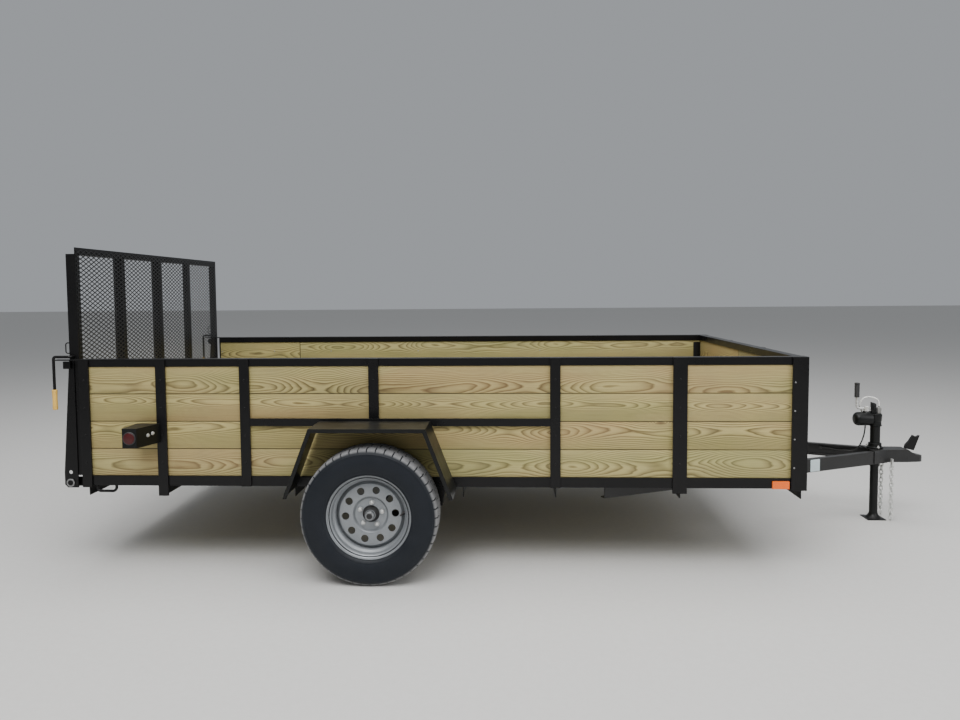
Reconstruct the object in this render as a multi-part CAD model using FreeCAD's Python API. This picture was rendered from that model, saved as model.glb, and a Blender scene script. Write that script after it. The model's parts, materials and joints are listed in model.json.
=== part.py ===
# Utility trailer with a boarded box, a ramp gate, one sprung axle and an A-frame hitch.
# Millimetres. While it is built, x = 0 is the front face of the box, y = 0 the centreline
# and z = 0 the ground. +X points to the hitch, +Y to the left, +Z up. The last step moves
# everything along X, so that the origin lies under the middle of the whole trailer.
import FreeCAD, Part
import math
import os

V = FreeCAD.Vector

# Box
BOX_LENGTH = 3670.0
BOX_WIDTH = 1960.0
FRAME_BOTTOM = 432.0
ANGLE_LEG = 50.8
ANGLE_WALL = 4.8
POST_WIDTH = 50.8
POST_PLATE = 9.5
TOP_RAIL_WIDTH = 50.8
TOP_RAIL_HEIGHT = 38.1
TOP_RAIL_WALL = 3.2
CORNER_LEG_FRONT = 76.2
CORNER_LEG_REAR = 50.8
CORNER_DROP = 8.0
MID_RAIL_HEIGHT = 38.1
MID_RAIL_TOP = 782.0
BOARD_COUNT = 4
BOARD_HEIGHT = 141.5
BOARD_THICK = 38.1
BOARD_GAP = 0.4
DECK_THICK = 38.1
DECK_COUNT = 13
DECK_GAP = 3.0
CROSS_HEIGHT = 63.5
CROSS_LEG = 38.1
SEAT_GAP = 0.3

# Round pieces have flat sides, which lie at the named radius, so that fits keep their clearance
WHEEL_SIDES = 28
PIPE_SIDES = 16
PIN_SIDES = 12
HOLE_SIDES = 8
BEND_STEPS = 3

# Side posts: centre's distance from the named end of the box, width, reach below the frame
POSTS = (
    {"end": "front", "distance": 619.0, "width": 70.0, "drop": 26.0},
    {"end": "front", "distance": 1234.0, "width": POST_WIDTH, "drop": 0.0},
    {"end": "rear", "distance": 1524.0, "width": POST_WIDTH, "drop": None},
    {"end": "rear", "distance": 862.0, "width": POST_WIDTH, "drop": 0.0},
    {"end": "rear", "distance": 427.0, "width": POST_WIDTH, "drop": 50.8},
)
FRONT_POST_OFFSET = 320.0
# Bars under the deck: web's distance from the named end, and which way the top leg points
CROSS_MEMBERS = (
    {"end": "front", "distance": 28.0, "leg": 0},
    {"end": "front", "distance": 619.0, "leg": -1},
    {"end": "front", "distance": 1234.0, "leg": -1},
    {"end": "rear", "distance": 1970.0, "leg": -1},
    {"end": "rear", "distance": 1110.0, "leg": -1},
    {"end": "rear", "distance": 427.0, "leg": 1},
    {"end": "rear", "distance": 30.0, "leg": 0},
)

# Wheels and axle
AXLE_AHEAD = 1528.0
TYRE_RADIUS = 337.0
TYRE_WIDTH = 205.0
TYRE_OUT = 232.0
TYRE_SHOULDER = 36.0
TYRE_SIDE_DROP = 36.0
TYRE_BULGE_UP = 52.0
RIM_RADIUS = 207.0
RIM_LIP = 16.5
RIM_WIDTH = 165.0
RIM_WALL = 4.5
RIM_FLANGE = 9.0
RIM_DROP = 17.5
# The rim's well: distance outward of its slopes' ends from the wheel's middle
RIM_WELL = (-14.0, 0.0, 30.0, 44.0)
RIM_SLOPE_IN = 12.0
RIM_SLOPE_OUT = 10.0
DISC_HOLE_COUNT = 10
DISC_HOLE_RADIUS = 18.5
DISC_HOLE_IN = 29.0
DISC_WELD_LAP = 2.0
DISC_CROWN_IN = 18.5
DISC_CROWN_INNER = 88.0
DISC_CROWN_RISE = 22.0
DISC_WALL = 6.0
DISC_SLOPE = 2.0
DISC_HOLE_START = 4.0
HUB_BORE_RADIUS = 42.0
HUB_FACE = 4.0
NUT_COUNT = 5
NUT_CIRCLE = 57.15
NUT_HALF = 10.4
NUT_HEIGHT = 17.0
NUT_START = 13.0
HUB_CLEARANCE = 0.5
# The hub's turned steps: distance outward from the wheel's middle, radius
HUB_TAIL = 70.0
HUB_TAIL_RADIUS = 38.0
HUB_FLANGE_THICK = 12.0
HUB_FLANGE_RADIUS = 72.0
HUB_SPIGOT_RADIUS = 36.0
HUB_NOSE_STEPS = ((34.0, 32.0), (34.0, 24.5), (52.0, 24.5), (57.0, 20.0))
AXLE_RADIUS = 30.0
AXLE_BEAM_SHORT = 75.0
SPINDLE_RADIUS = 15.0
SPINDLE_LONG = 38.0

# Springs
SPRING_WIDTH = 44.5
LEAF_THICK = 6.3
LEAF_GAP = 0.3
LEAF_COUNT = 4
SPRING_REACH = 320.0
SPRING_RISE = 45.0
EYE_RADIUS = 14.0
EYE_BOLT_RADIUS = 7.0
SHACKLE_LENGTH = 58.0
HANGER_WALL = 5.0
HANGER_TOP_HALF = 32.0
HANGER_FOOT_HALF = 18.0
HANGER_BELOW_EYE = 20.0
U_BOLT_RADIUS = 6.0
U_BOLT_CLEAR = 2.5
U_BOLT_BESIDE = 1.0
U_BOLT_UNDER = 16.5
SADDLE_UNDER_AXLE = 6.0
SADDLE_HALF = 38.0
TIE_PLATE_LONG = 52.0
TIE_PLATE_WIDE = 44.0
TIE_PLATE_THICK = 9.5
WELD_GAP = 0.05
BOLT_END = 8.0
SHACKLE_HALF = 14.0

# Fenders
FENDER_OUT = 235.0
FENDER_TOP = 771.0
FENDER_HALF_TOP = 281.0
FENDER_HALF_BASE = 411.0
FENDER_SHEET = 3.2
FENDER_LIP = 19.0

# Hitch
TONGUE_HEIGHT = 76.2
TONGUE_FLANGE = 35.8
TONGUE_WALL = 5.0
TONGUE_START_BACK = 979.0
TONGUE_START_IN = 88.0
TONGUE_END = 840.0
TONGUE_TIP_HALF = 46.5
COUPLER_START = 738.0
COUPLER_SHOULDER = 962.0
COUPLER_SHOULDER_HALF = 47.0
COUPLER_NOSE = 1061.0
COUPLER_NOSE_RADIUS = 38.0
COUPLER_WALL = 5.0
COUPLER_BOTTOM = 360.0
COUPLER_NOSE_TOP = 396.0
COUPLER_SLOPE_LENGTH = 50.0
COUPLER_SLOPE_END = 8.0
# Outline of the coupler's lever: ahead of the shoulder, above the coupler's top
LEVER_HALF = 11.0
LEVER_OUTLINE = (
    {"ahead": 0.0, "up": 0.0},
    {"ahead": 52.0, "up": -12.0},
    {"ahead": 68.0, "up": 33.0},
    {"ahead": 85.0, "up": 81.0},
    {"ahead": 66.0, "up": 71.0},
    {"ahead": 46.5, "up": 81.0},
    {"ahead": 22.0, "up": 42.0},
    {"ahead": 4.0, "up": 22.0},
)

# Jack
JACK_X = 784.0
JACK_TUBE_RADIUS = 28.5
JACK_TUBE_WALL = 4.0
JACK_TUBE_BOTTOM = 327.0
JACK_RAM_CLEAR = 0.5
JACK_HEAD_BOTTOM = 576.0
JACK_HEAD_HEIGHT = 76.0
JACK_HEAD_RADIUS = 37.0
# Gear case of the jack: rings behind the tube's axis, their height above the head's bottom
JACK_CASE = (
    {"back": 130.0, "up": 57.0, "radius": 24.0},
    {"back": 122.0, "up": 57.0, "radius": 36.0},
    {"back": 106.0, "up": 57.0, "radius": 41.5},
    {"back": 43.0, "up": 41.0, "radius": 38.5},
    {"back": 0.0, "up": 39.0, "radius": 36.0},
)
JACK_LUG_BACK = 28.0
JACK_LUG_HALF = 12.0
JACK_LUG_UP = 70.0
JACK_PLATE_RADIUS = 46.0
JACK_PLATE_THICK = 9.5
JACK_COLLAR_HEIGHT = 24.0
JACK_FOOT_HALF = 55.0
JACK_FOOT_THICK = 5.0
JACK_FLARE_HEIGHT = 30.0
JACK_CRANK_X = 670.0
JACK_GRIP_BOTTOM = 752.0
JACK_GRIP_TOP = 842.0
JACK_GRIP_RADIUS = 15.0
JACK_ARM_RADIUS = 7.0
JACK_NUT_BACK = 52.5
JACK_NUT_RADIUS = 21.5
JACK_NUT_SEAT_UP = 15.0
JACK_NUT_HEIGHT = 29.0
JACK_OVERLAP = 60.0
JACK_TRAVEL = 240.0

# Lighting cord: it lies in the left tongue rail, rises beside the jack and is parked on its head
CORD_RADIUS = 4.0
CORD_CLIP_LENGTH = 14.0
CORD_CLIP_DEEP = 18.0
CORD_CLIP_TALL = 16.0
CORD_IN = 17.0
# Points in the rail: back from its tip, in from its outer face, height
CORD_IN_RAIL = (
    {"back": 330.0, "in": CORD_IN, "z": 405.0},
    {"back": 288.0, "in": CORD_IN, "z": 405.0},
    {"back": 244.0, "in": 21.0, "z": 397.0},
    {"back": 205.0, "in": 30.0, "z": 401.0},
)
# Points beside the jack
CORD_BY_JACK = (
    {"x": 690.0, "y": 66.0, "z": 404.0},
    {"x": 712.0, "y": 44.0, "z": 440.0},
    {"x": 732.0, "y": 42.0, "z": 490.0},
    {"x": 745.0, "y": 47.0, "z": 542.0},
    {"x": 748.0, "y": 50.0, "z": 600.0},
    {"x": 722.0, "y": 44.0, "z": 655.0},
    {"x": 690.0, "y": 14.0, "z": 705.0},
    {"x": 702.0, "y": 4.0, "z": 742.0},
    {"x": 730.0, "y": -2.0, "z": 757.0},
    {"x": 763.0, "y": -6.0, "z": 753.0},
    {"x": 789.0, "y": -8.0, "z": 742.0},
    {"x": 800.0, "y": -8.0, "z": 722.0},
    {"x": 800.0, "y": -8.0, "z": 700.0},
)
PLUG_HALF = 11.0
PLUG_NECK_HALF = 7.0
PLUG_NECK = 10.0

# Safety chains
CHAIN_X = 858.0
CHAIN_OUT = 64.0
LINK_WIRE = 7.0
LINK_PITCH = 25.5
LINK_WIDTH = 26.0
LINK_COUNT = 11
LINK_CORNER = 0.26
CHAIN_TAB_DROP = 15.0
CHAIN_TAB_THICK = 6.0
CHAIN_TAB_REACH = 12.0
CHAIN_TAB_RISE = 24.0
HOOK_EYE = 28.0
HOOK_BEND = 38.0
HOOK_WIRE = 7.5

# Lights
LIGHT_BEHIND_REAR = 127.0
LIGHT_BEHIND_FRONT = 54.0
LIGHT_OUT = 158.0
LIGHT_BOTTOM = 660.0
LIGHT_HEIGHT = 98.0
LIGHT_SHEET = 3.2
SIDE_LAMP_RADIUS = 33.0
TAIL_LAMP_RADIUS = 38.0
LAMP_DEPTH = 9.0
REFLECTOR_BACK = 84.0
REFLECTOR_LENGTH = 82.0
REFLECTOR_HEIGHT = 38.0
REFLECTOR_THICK = 9.0

# Gate
GATE_GAP = 14.0
GATE_SIDE_GAP = 35.0
GATE_TOP = 1662.0
GATE_BOTTOM = 478.0
GATE_LEG = 50.8
GATE_WALL = 4.8
GATE_RAIL = 38.1
GATE_BAYS = 4
HINGE_BACK = 82.0
HINGE_Z = 439.0
HINGE_PIN_RADIUS = 12.7
HINGE_TUBE_RADIUS = 21.0
HINGE_CLEARANCE = 0.4
HINGE_PLATE_THICK = 6.4
HINGE_PLATE_TOP = 1078.0
HINGE_PLATE_DEPTH = 101.0
HINGE_PLATE_FOOT = 413.0
HINGE_PLATE_CORNER = 16.0
HINGE_PLATE_UPRIGHT = 80.0
HINGE_TUBE_IN = 20.0
HINGE_TUBE_OUT = 5.0
SPARE_HOLE_UP = 55.0
SPARE_HOLE_RADIUS = 10.0
EAR_THICK = 10.0
EAR_GAP = 3.0
EAR_HALF = 24.0
EAR_ROOT = 40.0
MESH_CELLS_ACROSS = 6
MESH_CELL_HEIGHT = 200.0
MESH_STRAND = 14.0
MESH_THICK = 3.0

# Gate latches
STRAP_THICK = 6.0
STRAP_GAP = 7.0
STRAP_REACH = 120.0
ROD_RADIUS = 6.5
ROD_Z = 1100.0
ROD_DROP = 274.0
GRIP_RADIUS = 13.0
GRIP_LENGTH = 104.0
ROD_BACK = 137.0
ROD_FRONT_BACK = 46.0
CATCH_GAP = 6.0
CATCH_SIZE = 38.0
CATCH_DEEP = 14.0
LOOP_TALL = 60.0
LOOP_DEEP = 22.0
LOOP_WIRE = 6.0

# Tie-down loops
LOOP_AHEAD = 58.0
LOOP_LENGTH = 117.0
LOOP_DROP = 40.0
LOOP_BAR = 14.0

# Worked out from the sizes above
HALF_WIDTH = BOX_WIDTH / 2
RIM_SEAT_RADIUS = RIM_RADIUS - RIM_LIP
DISC_WELD = RIM_SEAT_RADIUS - RIM_WALL - RIM_DROP + DISC_WELD_LAP
DISC_CROWN_OUTER = DISC_WELD - DISC_CROWN_IN
DISC_HOLE_CIRCLE = DISC_CROWN_OUTER - DISC_HOLE_IN
RAIL_FACE = HALF_WIDTH - POST_PLATE
BOARD_OUT = RAIL_FACE - ANGLE_WALL
BOARD_IN = BOARD_OUT - BOARD_THICK
RAIL_TOP = FRAME_BOTTOM + ANGLE_LEG
DECK_BOTTOM = RAIL_TOP - DECK_THICK
BOARDS_TOP = RAIL_TOP + BOARD_COUNT * BOARD_HEIGHT
BOX_TOP = BOARDS_TOP + TOP_RAIL_HEIGHT
REAR_RAIL_FACE = -(BOX_LENGTH - POST_PLATE)
AXLE_X = AXLE_AHEAD - BOX_LENGTH
AXLE_Z = TYRE_RADIUS
TYRE_OUTER = HALF_WIDTH + TYRE_OUT
WHEEL_MID = TYRE_OUTER - TYRE_WIDTH / 2
SPRING_MID = HALF_WIDTH - POST_PLATE - ANGLE_LEG / 2
GATE_HALF_WIDTH = HALF_WIDTH - GATE_SIDE_GAP
STRAP_IN = GATE_HALF_WIDTH + STRAP_GAP
GATE_X = -(BOX_LENGTH + GATE_GAP)
HINGE_X = -(BOX_LENGTH + HINGE_BACK)
TONGUE_TOP = FRAME_BOTTOM
TONGUE_BOTTOM = TONGUE_TOP - TONGUE_HEIGHT
TONGUE_RUN = TONGUE_START_BACK + TONGUE_END
TONGUE_TURN = math.atan((HALF_WIDTH - TONGUE_START_IN - TONGUE_TIP_HALF) / TONGUE_RUN)
TONGUE_LENGTH = TONGUE_RUN / math.cos(TONGUE_TURN)
COUPLER_TOP = TONGUE_TOP + SEAT_GAP + COUPLER_WALL
JACK_BORE = JACK_TUBE_RADIUS - JACK_TUBE_WALL
JACK_HEAD_TOP = JACK_HEAD_BOTTOM + JACK_HEAD_HEIGHT
LOOP_X = LOOP_AHEAD - BOX_LENGTH
ROD_X = -(BOX_LENGTH + ROD_BACK)
REAR_MOST = ROD_X - GRIP_RADIUS
MIDDLE_X = (REAR_MOST + COUPLER_NOSE) / 2


def block(x0, x1, y0, y1, z0, z1):
    return Part.makeBox(x1 - x0, y1 - y0, z1 - z0, V(x0, y0, z0))


def rod(start, end, radius):
    along = V(*end) - V(*start)
    return Part.makeCylinder(radius, along.Length, V(*start), along)


def ring_about(centre, facing, radius, sides):
    """Corners of a regular polygon square to a direction, with its flats at the radius."""
    along = V(*facing).normalize()
    across = V(1, 0, 0) if abs(along.z) > 0.9 else along.cross(V(0, 0, 1)).normalize()
    upward = across.cross(along)
    reach = radius / math.cos(math.pi / sides)
    corners = []
    for number in range(sides):
        angle = 2 * math.pi * (number + 0.5) / sides
        corners.append(V(*centre) + across * (reach * math.cos(angle)) + upward * (reach * math.sin(angle)))
    return corners


def solid_through(rings, closed=False):
    """A solid with flat faces through rings of corners, closed by two end faces or round to itself."""
    pairs = list(zip(rings, rings[1:]))
    faces = []
    if closed:
        pairs.append((rings[-1], rings[0]))
    else:
        faces = [Part.Face(Part.makePolygon(ring + ring[:1])) for ring in (rings[0], rings[-1])]
    for ring, following in pairs:
        for number in range(len(ring)):
            other = (number + 1) % len(ring)
            corners = [ring[number], ring[other], following[other], following[number], ring[number]]
            faces.append(Part.Face(Part.makePolygon(corners)))
    return Part.Solid(Part.Shell(faces))


def spun(start, facing, profile, sides):
    """A round body about a line, from (distance along it, radius) points."""
    along = V(*facing).normalize()
    return solid_through([ring_about(V(*start) + along * reach, facing, r, sides) for reach, r in profile])


def flat_rod(start, end, radius, sides=PIN_SIDES):
    along = V(*end) - V(*start)
    return spun(start, along, [(0.0, radius), (along.Length, radius)], sides)


def side_prism(points, y0, y1):
    """A flat outline of (x, z) points, made y0 to y1 thick."""
    wire = Part.makePolygon([V(x, y0, z) for x, z in points + points[:1]])
    return Part.Face(wire).extrude(V(0, y1 - y0, 0))


def plan_prism(points, z0, z1):
    """A flat outline of (x, y) points, made z0 to z1 high."""
    wire = Part.makePolygon([V(x, y, z0) for x, y in points + points[:1]])
    return Part.Face(wire).extrude(V(0, 0, z1 - z0))


def mirrored(shape):
    return shape.mirror(V(0, 0, 0), V(0, 1, 0))


def both_sides(shapes):
    """Shapes made for the left side, with their twins on the right."""
    return list(shapes) + [mirrored(shape) for shape in shapes]


def fused(shapes):
    whole = shapes[0]
    for shape in shapes[1:]:
        whole = whole.fuse(shape)
    return whole.removeSplitter()


def tube_along_x(x0, x1, y0, y1, z0, z1, wall):
    outer = block(x0, x1, y0, y1, z0, z1)
    return outer.cut(block(x0, x1, y0 + wall, y1 - wall, z0 + wall, z1 - wall))


def tube_along_y(x0, x1, y0, y1, z0, z1, wall):
    outer = block(x0, x1, y0, y1, z0, z1)
    return outer.cut(block(x0 + wall, x1 - wall, y0, y1, z0 + wall, z1 - wall))


def place_x(row):
    """Place along X of a table's row that is measured from one end of the box."""
    return -row["distance"] if row["end"] == "front" else row["distance"] - BOX_LENGTH


def side_rails():
    x0 = REAR_RAIL_FACE
    x1 = -POST_PLATE
    web = block(x0, x1, RAIL_FACE - ANGLE_WALL, RAIL_FACE, FRAME_BOTTOM, RAIL_TOP)
    foot = block(x0, x1, RAIL_FACE - ANGLE_LEG, RAIL_FACE, FRAME_BOTTOM, FRAME_BOTTOM + ANGLE_WALL)
    return both_sides([fused([web, foot])])


def end_rails():
    half = RAIL_FACE - ANGLE_LEG
    z_foot = FRAME_BOTTOM + ANGLE_WALL
    rails = []
    for face, inward in ((-POST_PLATE, -1), (REAR_RAIL_FACE, 1)):
        web_edges = sorted((face, face + inward * ANGLE_WALL))
        foot_edges = sorted((face, face + inward * ANGLE_LEG))
        web = block(web_edges[0], web_edges[1], -half, half, FRAME_BOTTOM, RAIL_TOP)
        foot = block(foot_edges[0], foot_edges[1], -half, half, FRAME_BOTTOM, z_foot)
        rails.append(fused([web, foot]))
    return rails


def tongue_frame(shape):
    """Puts a shape made along +X from the rail's rear end in the left rail's place."""
    placed = shape.copy()
    placed.rotate(V(0, 0, 0), V(0, 0, 1), -math.degrees(TONGUE_TURN))
    placed.translate(V(-TONGUE_START_BACK, HALF_WIDTH - TONGUE_START_IN, 0))
    return placed


def tongue_point(back, inward, z):
    """A point in the left rail: back from its tip, in from its outer face."""
    along = TONGUE_LENGTH - back
    x = -TONGUE_START_BACK + along * math.cos(TONGUE_TURN) - inward * math.sin(TONGUE_TURN)
    y = HALF_WIDTH - TONGUE_START_IN - along * math.sin(TONGUE_TURN) - inward * math.cos(TONGUE_TURN)
    return (x, y, z)


def tongue_outer_y(x):
    """Distance of a tongue rail's outer face from the centreline at x."""
    return TONGUE_TIP_HALF + (TONGUE_END - x) * math.tan(TONGUE_TURN)


def tongue_rail():
    outer = block(0, TONGUE_LENGTH, -TONGUE_FLANGE, 0, TONGUE_BOTTOM, TONGUE_TOP)
    z0 = TONGUE_BOTTOM + TONGUE_WALL
    z1 = TONGUE_TOP - TONGUE_WALL
    inner = block(0, TONGUE_LENGTH, -TONGUE_FLANGE, -TONGUE_WALL, z0, z1)
    return tongue_frame(outer.cut(inner))


def tongue_envelope():
    space = block(
        -TONGUE_FLANGE, TONGUE_LENGTH,
        -TONGUE_FLANGE - SEAT_GAP, SEAT_GAP,
        TONGUE_BOTTOM - SEAT_GAP, TONGUE_TOP + SEAT_GAP,
    )
    return tongue_frame(space)


def cross_members():
    rail_space = block(
        REAR_RAIL_FACE, -POST_PLATE,
        RAIL_FACE - ANGLE_LEG - SEAT_GAP, RAIL_FACE + ANGLE_LEG,
        FRAME_BOTTOM - SEAT_GAP, RAIL_TOP,
    )
    spaces = both_sides([rail_space, tongue_envelope()])
    for face, inward in ((-POST_PLATE, -1), (REAR_RAIL_FACE, 1)):
        edges = sorted((face - inward, face + inward * (ANGLE_LEG + SEAT_GAP)))
        spaces.append(block(edges[0], edges[1], -HALF_WIDTH, HALF_WIDTH, FRAME_BOTTOM - SEAT_GAP, RAIL_TOP))
    members = []
    for row in CROSS_MEMBERS:
        x_web = place_x(row)
        z_low = DECK_BOTTOM - CROSS_HEIGHT
        member = block(x_web, x_web + ANGLE_WALL, -RAIL_FACE, RAIL_FACE, z_low, DECK_BOTTOM)
        if row["leg"]:
            x_leg, x_heel = sorted((x_web + row["leg"] * CROSS_LEG, x_web + ANGLE_WALL / 2))
            top = block(x_leg, x_heel, -RAIL_FACE, RAIL_FACE, DECK_BOTTOM - ANGLE_WALL, DECK_BOTTOM)
            member = fused([member, top])
        for space in spaces:
            member = member.cut(space)
        members.extend(member.Solids)
    return members


def side_posts():
    """Flat posts and corner angles of the left side."""
    posts = []
    for row in POSTS:
        x_mid = place_x(row)
        half = row["width"] / 2
        foot = MID_RAIL_TOP if row["drop"] is None else FRAME_BOTTOM - row["drop"]
        posts.append(block(x_mid - half, x_mid + half, RAIL_FACE, HALF_WIDTH, foot, BOX_TOP))
    low = FRAME_BOTTOM - CORNER_DROP
    for face, inward, leg in ((0.0, -1, CORNER_LEG_FRONT), (-BOX_LENGTH, 1, CORNER_LEG_REAR)):
        long_edges = sorted((face, face + inward * leg))
        short_edges = sorted((face, face + inward * POST_PLATE))
        side = block(long_edges[0], long_edges[1], RAIL_FACE, HALF_WIDTH, low, BOX_TOP)
        end = block(short_edges[0], short_edges[1], HALF_WIDTH - leg, HALF_WIDTH, low, BOX_TOP)
        posts.append(fused([side, end]))
    return posts


def front_posts():
    half = POST_WIDTH / 2
    y = FRONT_POST_OFFSET
    return both_sides([block(-POST_PLATE, 0, y - half, y + half, FRAME_BOTTOM, BOX_TOP)])


def top_rails():
    return both_sides([tube_along_x(
        REAR_RAIL_FACE, -POST_PLATE, RAIL_FACE - TOP_RAIL_WIDTH, RAIL_FACE,
        BOARDS_TOP, BOX_TOP, TOP_RAIL_WALL,
    )])


def top_rail_front():
    half = RAIL_FACE - TOP_RAIL_WIDTH
    return [tube_along_y(
        -POST_PLATE - TOP_RAIL_WIDTH, -POST_PLATE, -half, half,
        BOARDS_TOP, BOX_TOP, TOP_RAIL_WALL,
    )]


def mid_rails():
    rear = place_x(POSTS[3]) + POSTS[3]["width"] / 2
    front = place_x(POSTS[1]) - POSTS[1]["width"] / 2
    bar = block(rear, front, BOARD_OUT, HALF_WIDTH, MID_RAIL_TOP - MID_RAIL_HEIGHT, MID_RAIL_TOP)
    return both_sides([bar])


def stacked(x0, x1, y0, y1):
    boards = []
    for number in range(BOARD_COUNT):
        z0 = RAIL_TOP + number * BOARD_HEIGHT
        boards.append(block(x0, x1, y0, y1, z0 + BOARD_GAP, z0 + BOARD_HEIGHT))
    return boards


def side_boards():
    return stacked(REAR_RAIL_FACE, -POST_PLATE - ANGLE_WALL, BOARD_IN, BOARD_OUT)


def front_boards():
    face = -POST_PLATE - ANGLE_WALL
    return stacked(face - BOARD_THICK, face, -BOARD_IN + SEAT_GAP, BOARD_IN - SEAT_GAP)


def deck_boards():
    x0 = REAR_RAIL_FACE + ANGLE_WALL + SEAT_GAP
    x1 = -POST_PLATE - ANGLE_WALL - SEAT_GAP
    span = 2 * (BOARD_OUT - SEAT_GAP)
    pitch = (span + DECK_GAP) / DECK_COUNT
    boards = []
    for number in range(DECK_COUNT):
        y0 = -span / 2 + number * pitch
        boards.append(block(x0, x1, y0, y0 + pitch - DECK_GAP, DECK_BOTTOM, RAIL_TOP))
    return boards


def axle():
    reach = WHEEL_MID - AXLE_BEAM_SHORT
    beam = flat_rod((AXLE_X, -reach, AXLE_Z), (AXLE_X, reach, AXLE_Z), AXLE_RADIUS)
    spindle_end = WHEEL_MID + SPINDLE_LONG
    spindles = flat_rod((AXLE_X, -spindle_end, AXLE_Z), (AXLE_X, spindle_end, AXLE_Z), SPINDLE_RADIUS, PIPE_SIDES)
    return [fused([beam, spindles])]


def spring_top():
    """Height of the flat middle of the longest leaf, on top of the pack."""
    return AXLE_Z - AXLE_RADIUS - SADDLE_UNDER_AXLE


def spring_eye_z():
    return spring_top() + SPRING_RISE + EYE_RADIUS - LEAF_THICK / 2


def leaf(number):
    """One leaf of the left spring. The leaves bend about one centre, the longest on top."""
    long_bend = (SPRING_REACH ** 2 + SPRING_RISE ** 2) / (2 * SPRING_RISE)
    step = math.asin(SPRING_REACH / long_bend) / (LEAF_COUNT + 0.5)
    centre_z = spring_top() + long_bend * math.cos(step / 2)
    upper = long_bend + number * (LEAF_THICK + LEAF_GAP)
    steps = LEAF_COUNT - number
    angles = [(turn + 0.5) * step for turn in range(-steps - 1, steps + 1)]

    def along_arc(bend, turns):
        return [(AXLE_X + bend * math.sin(turn), centre_z - bend * math.cos(turn)) for turn in turns]

    outline = along_arc(upper, angles) + along_arc(upper + LEAF_THICK, angles[::-1])
    y0 = SPRING_MID - SPRING_WIDTH / 2
    y1 = SPRING_MID + SPRING_WIDTH / 2
    body = side_prism(outline, y0, y1)
    if number == 0:
        eyes = [(AXLE_X + side * SPRING_REACH, spring_eye_z()) for side in (-1, 1)]
        body = fused([body] + [flat_rod((x, y0, z), (x, y1, z), EYE_RADIUS) for x, z in eyes])
        body = body.cut([flat_rod((x, y0, z), (x, y1, z), EYE_BOLT_RADIUS + SEAT_GAP, HOLE_SIDES) for x, z in eyes])
    return body


def springs():
    return [leaf(number) for number in range(LEAF_COUNT)]


def spring_seats():
    """Saddle over the spring, tie plate under it and the two U-bolts round the axle."""
    y_mid = SPRING_MID
    pad_half = SPRING_WIDTH / 2
    saddle = block(AXLE_X - SADDLE_HALF, AXLE_X + SADDLE_HALF, y_mid - pad_half, y_mid + pad_half,
                   spring_top() + SEAT_GAP, AXLE_Z)
    over_axle = flat_rod((AXLE_X, y_mid - 2 * pad_half, AXLE_Z), (AXLE_X, y_mid + 2 * pad_half, AXLE_Z),
                         AXLE_RADIUS + WELD_GAP)
    saddle = saddle.cut(over_axle)
    pack_bottom = spring_top() - LEAF_COUNT * (LEAF_THICK + LEAF_GAP)
    plate = block(AXLE_X - TIE_PLATE_LONG, AXLE_X + TIE_PLATE_LONG, y_mid - TIE_PLATE_WIDE, y_mid + TIE_PLATE_WIDE,
                  pack_bottom - TIE_PLATE_THICK, pack_bottom)
    arch_radius = AXLE_RADIUS + U_BOLT_RADIUS + U_BOLT_CLEAR
    low = pack_bottom - TIE_PLATE_THICK - U_BOLT_UNDER
    high = AXLE_Z + arch_radius
    bolts = []
    holes = []
    for side in (-1, 1):
        y = y_mid + side * (pad_half + U_BOLT_RADIUS + U_BOLT_BESIDE)
        corners = ((-arch_radius, low), (-arch_radius, high), (arch_radius, high), (arch_radius, low))
        points = [(AXLE_X + x, y, z) for x, z in corners]
        bolts.append(bent_bar(points, U_BOLT_RADIUS, [arch_radius * 0.98] * 2))
        for x in (AXLE_X - arch_radius, AXLE_X + arch_radius):
            holes.append(flat_rod((x, y, low), (x, y, AXLE_Z), U_BOLT_RADIUS + SEAT_GAP, HOLE_SIDES))
    return [saddle.cut(holes), plate.cut(holes)], bolts


def strap_outline(x, low, high, half):
    """Outline of a flat strap with round ends about its two bolts, as (x, z) points."""
    outline = []
    for z, first in ((high, 0), (low, PIN_SIDES // 2)):
        for number in range(PIN_SIDES // 2 + 1):
            angle = 2 * math.pi * (first + number) / PIN_SIDES
            outline.append((x + half * math.cos(angle), z + half * math.sin(angle)))
    return outline


def hangers():
    """Front bracket, rear bracket, shackle straps and their bolts, for the left side."""
    eye_z = spring_eye_z()
    half_in = SPRING_WIDTH / 2 + 1.0
    half_out = half_in + HANGER_WALL
    x_front = AXLE_X + SPRING_REACH
    x_rear = AXLE_X - SPRING_REACH
    shackle_top = eye_z + SHACKLE_LENGTH
    cheek = [
        (x_front - HANGER_TOP_HALF, FRAME_BOTTOM), (x_front + HANGER_TOP_HALF, FRAME_BOTTOM),
        (x_front + HANGER_FOOT_HALF, eye_z - HANGER_BELOW_EYE), (x_front - HANGER_FOOT_HALF, eye_z - HANGER_BELOW_EYE),
    ]
    pieces = []
    for side in (-1, 1):
        y0, y1 = sorted((SPRING_MID + side * half_in, SPRING_MID + side * half_out))
        pieces.append(side_prism(cheek, y0, y1))
        pieces.append(side_prism(strap_outline(x_rear, eye_z, shackle_top, SHACKLE_HALF), y0, y1))
    pieces.append(block(
        x_rear - 26, x_rear + 26, SPRING_MID - half_in + SEAT_GAP, SPRING_MID + half_in - SEAT_GAP,
        shackle_top - 12, FRAME_BOTTOM,
    ))
    bolts = []
    holes = []
    for x, z in ((x_front, eye_z), (x_rear, eye_z), (x_rear, shackle_top)):
        ends = [(x, SPRING_MID + side * (half_out + BOLT_END), z) for side in (-1, 1)]
        bolts.append(flat_rod(ends[0], ends[1], EYE_BOLT_RADIUS, HOLE_SIDES))
        holes.append(flat_rod(ends[0], ends[1], EYE_BOLT_RADIUS + 2 * WELD_GAP, HOLE_SIDES))
    return [piece.cut(holes) for piece in pieces], bolts


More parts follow.
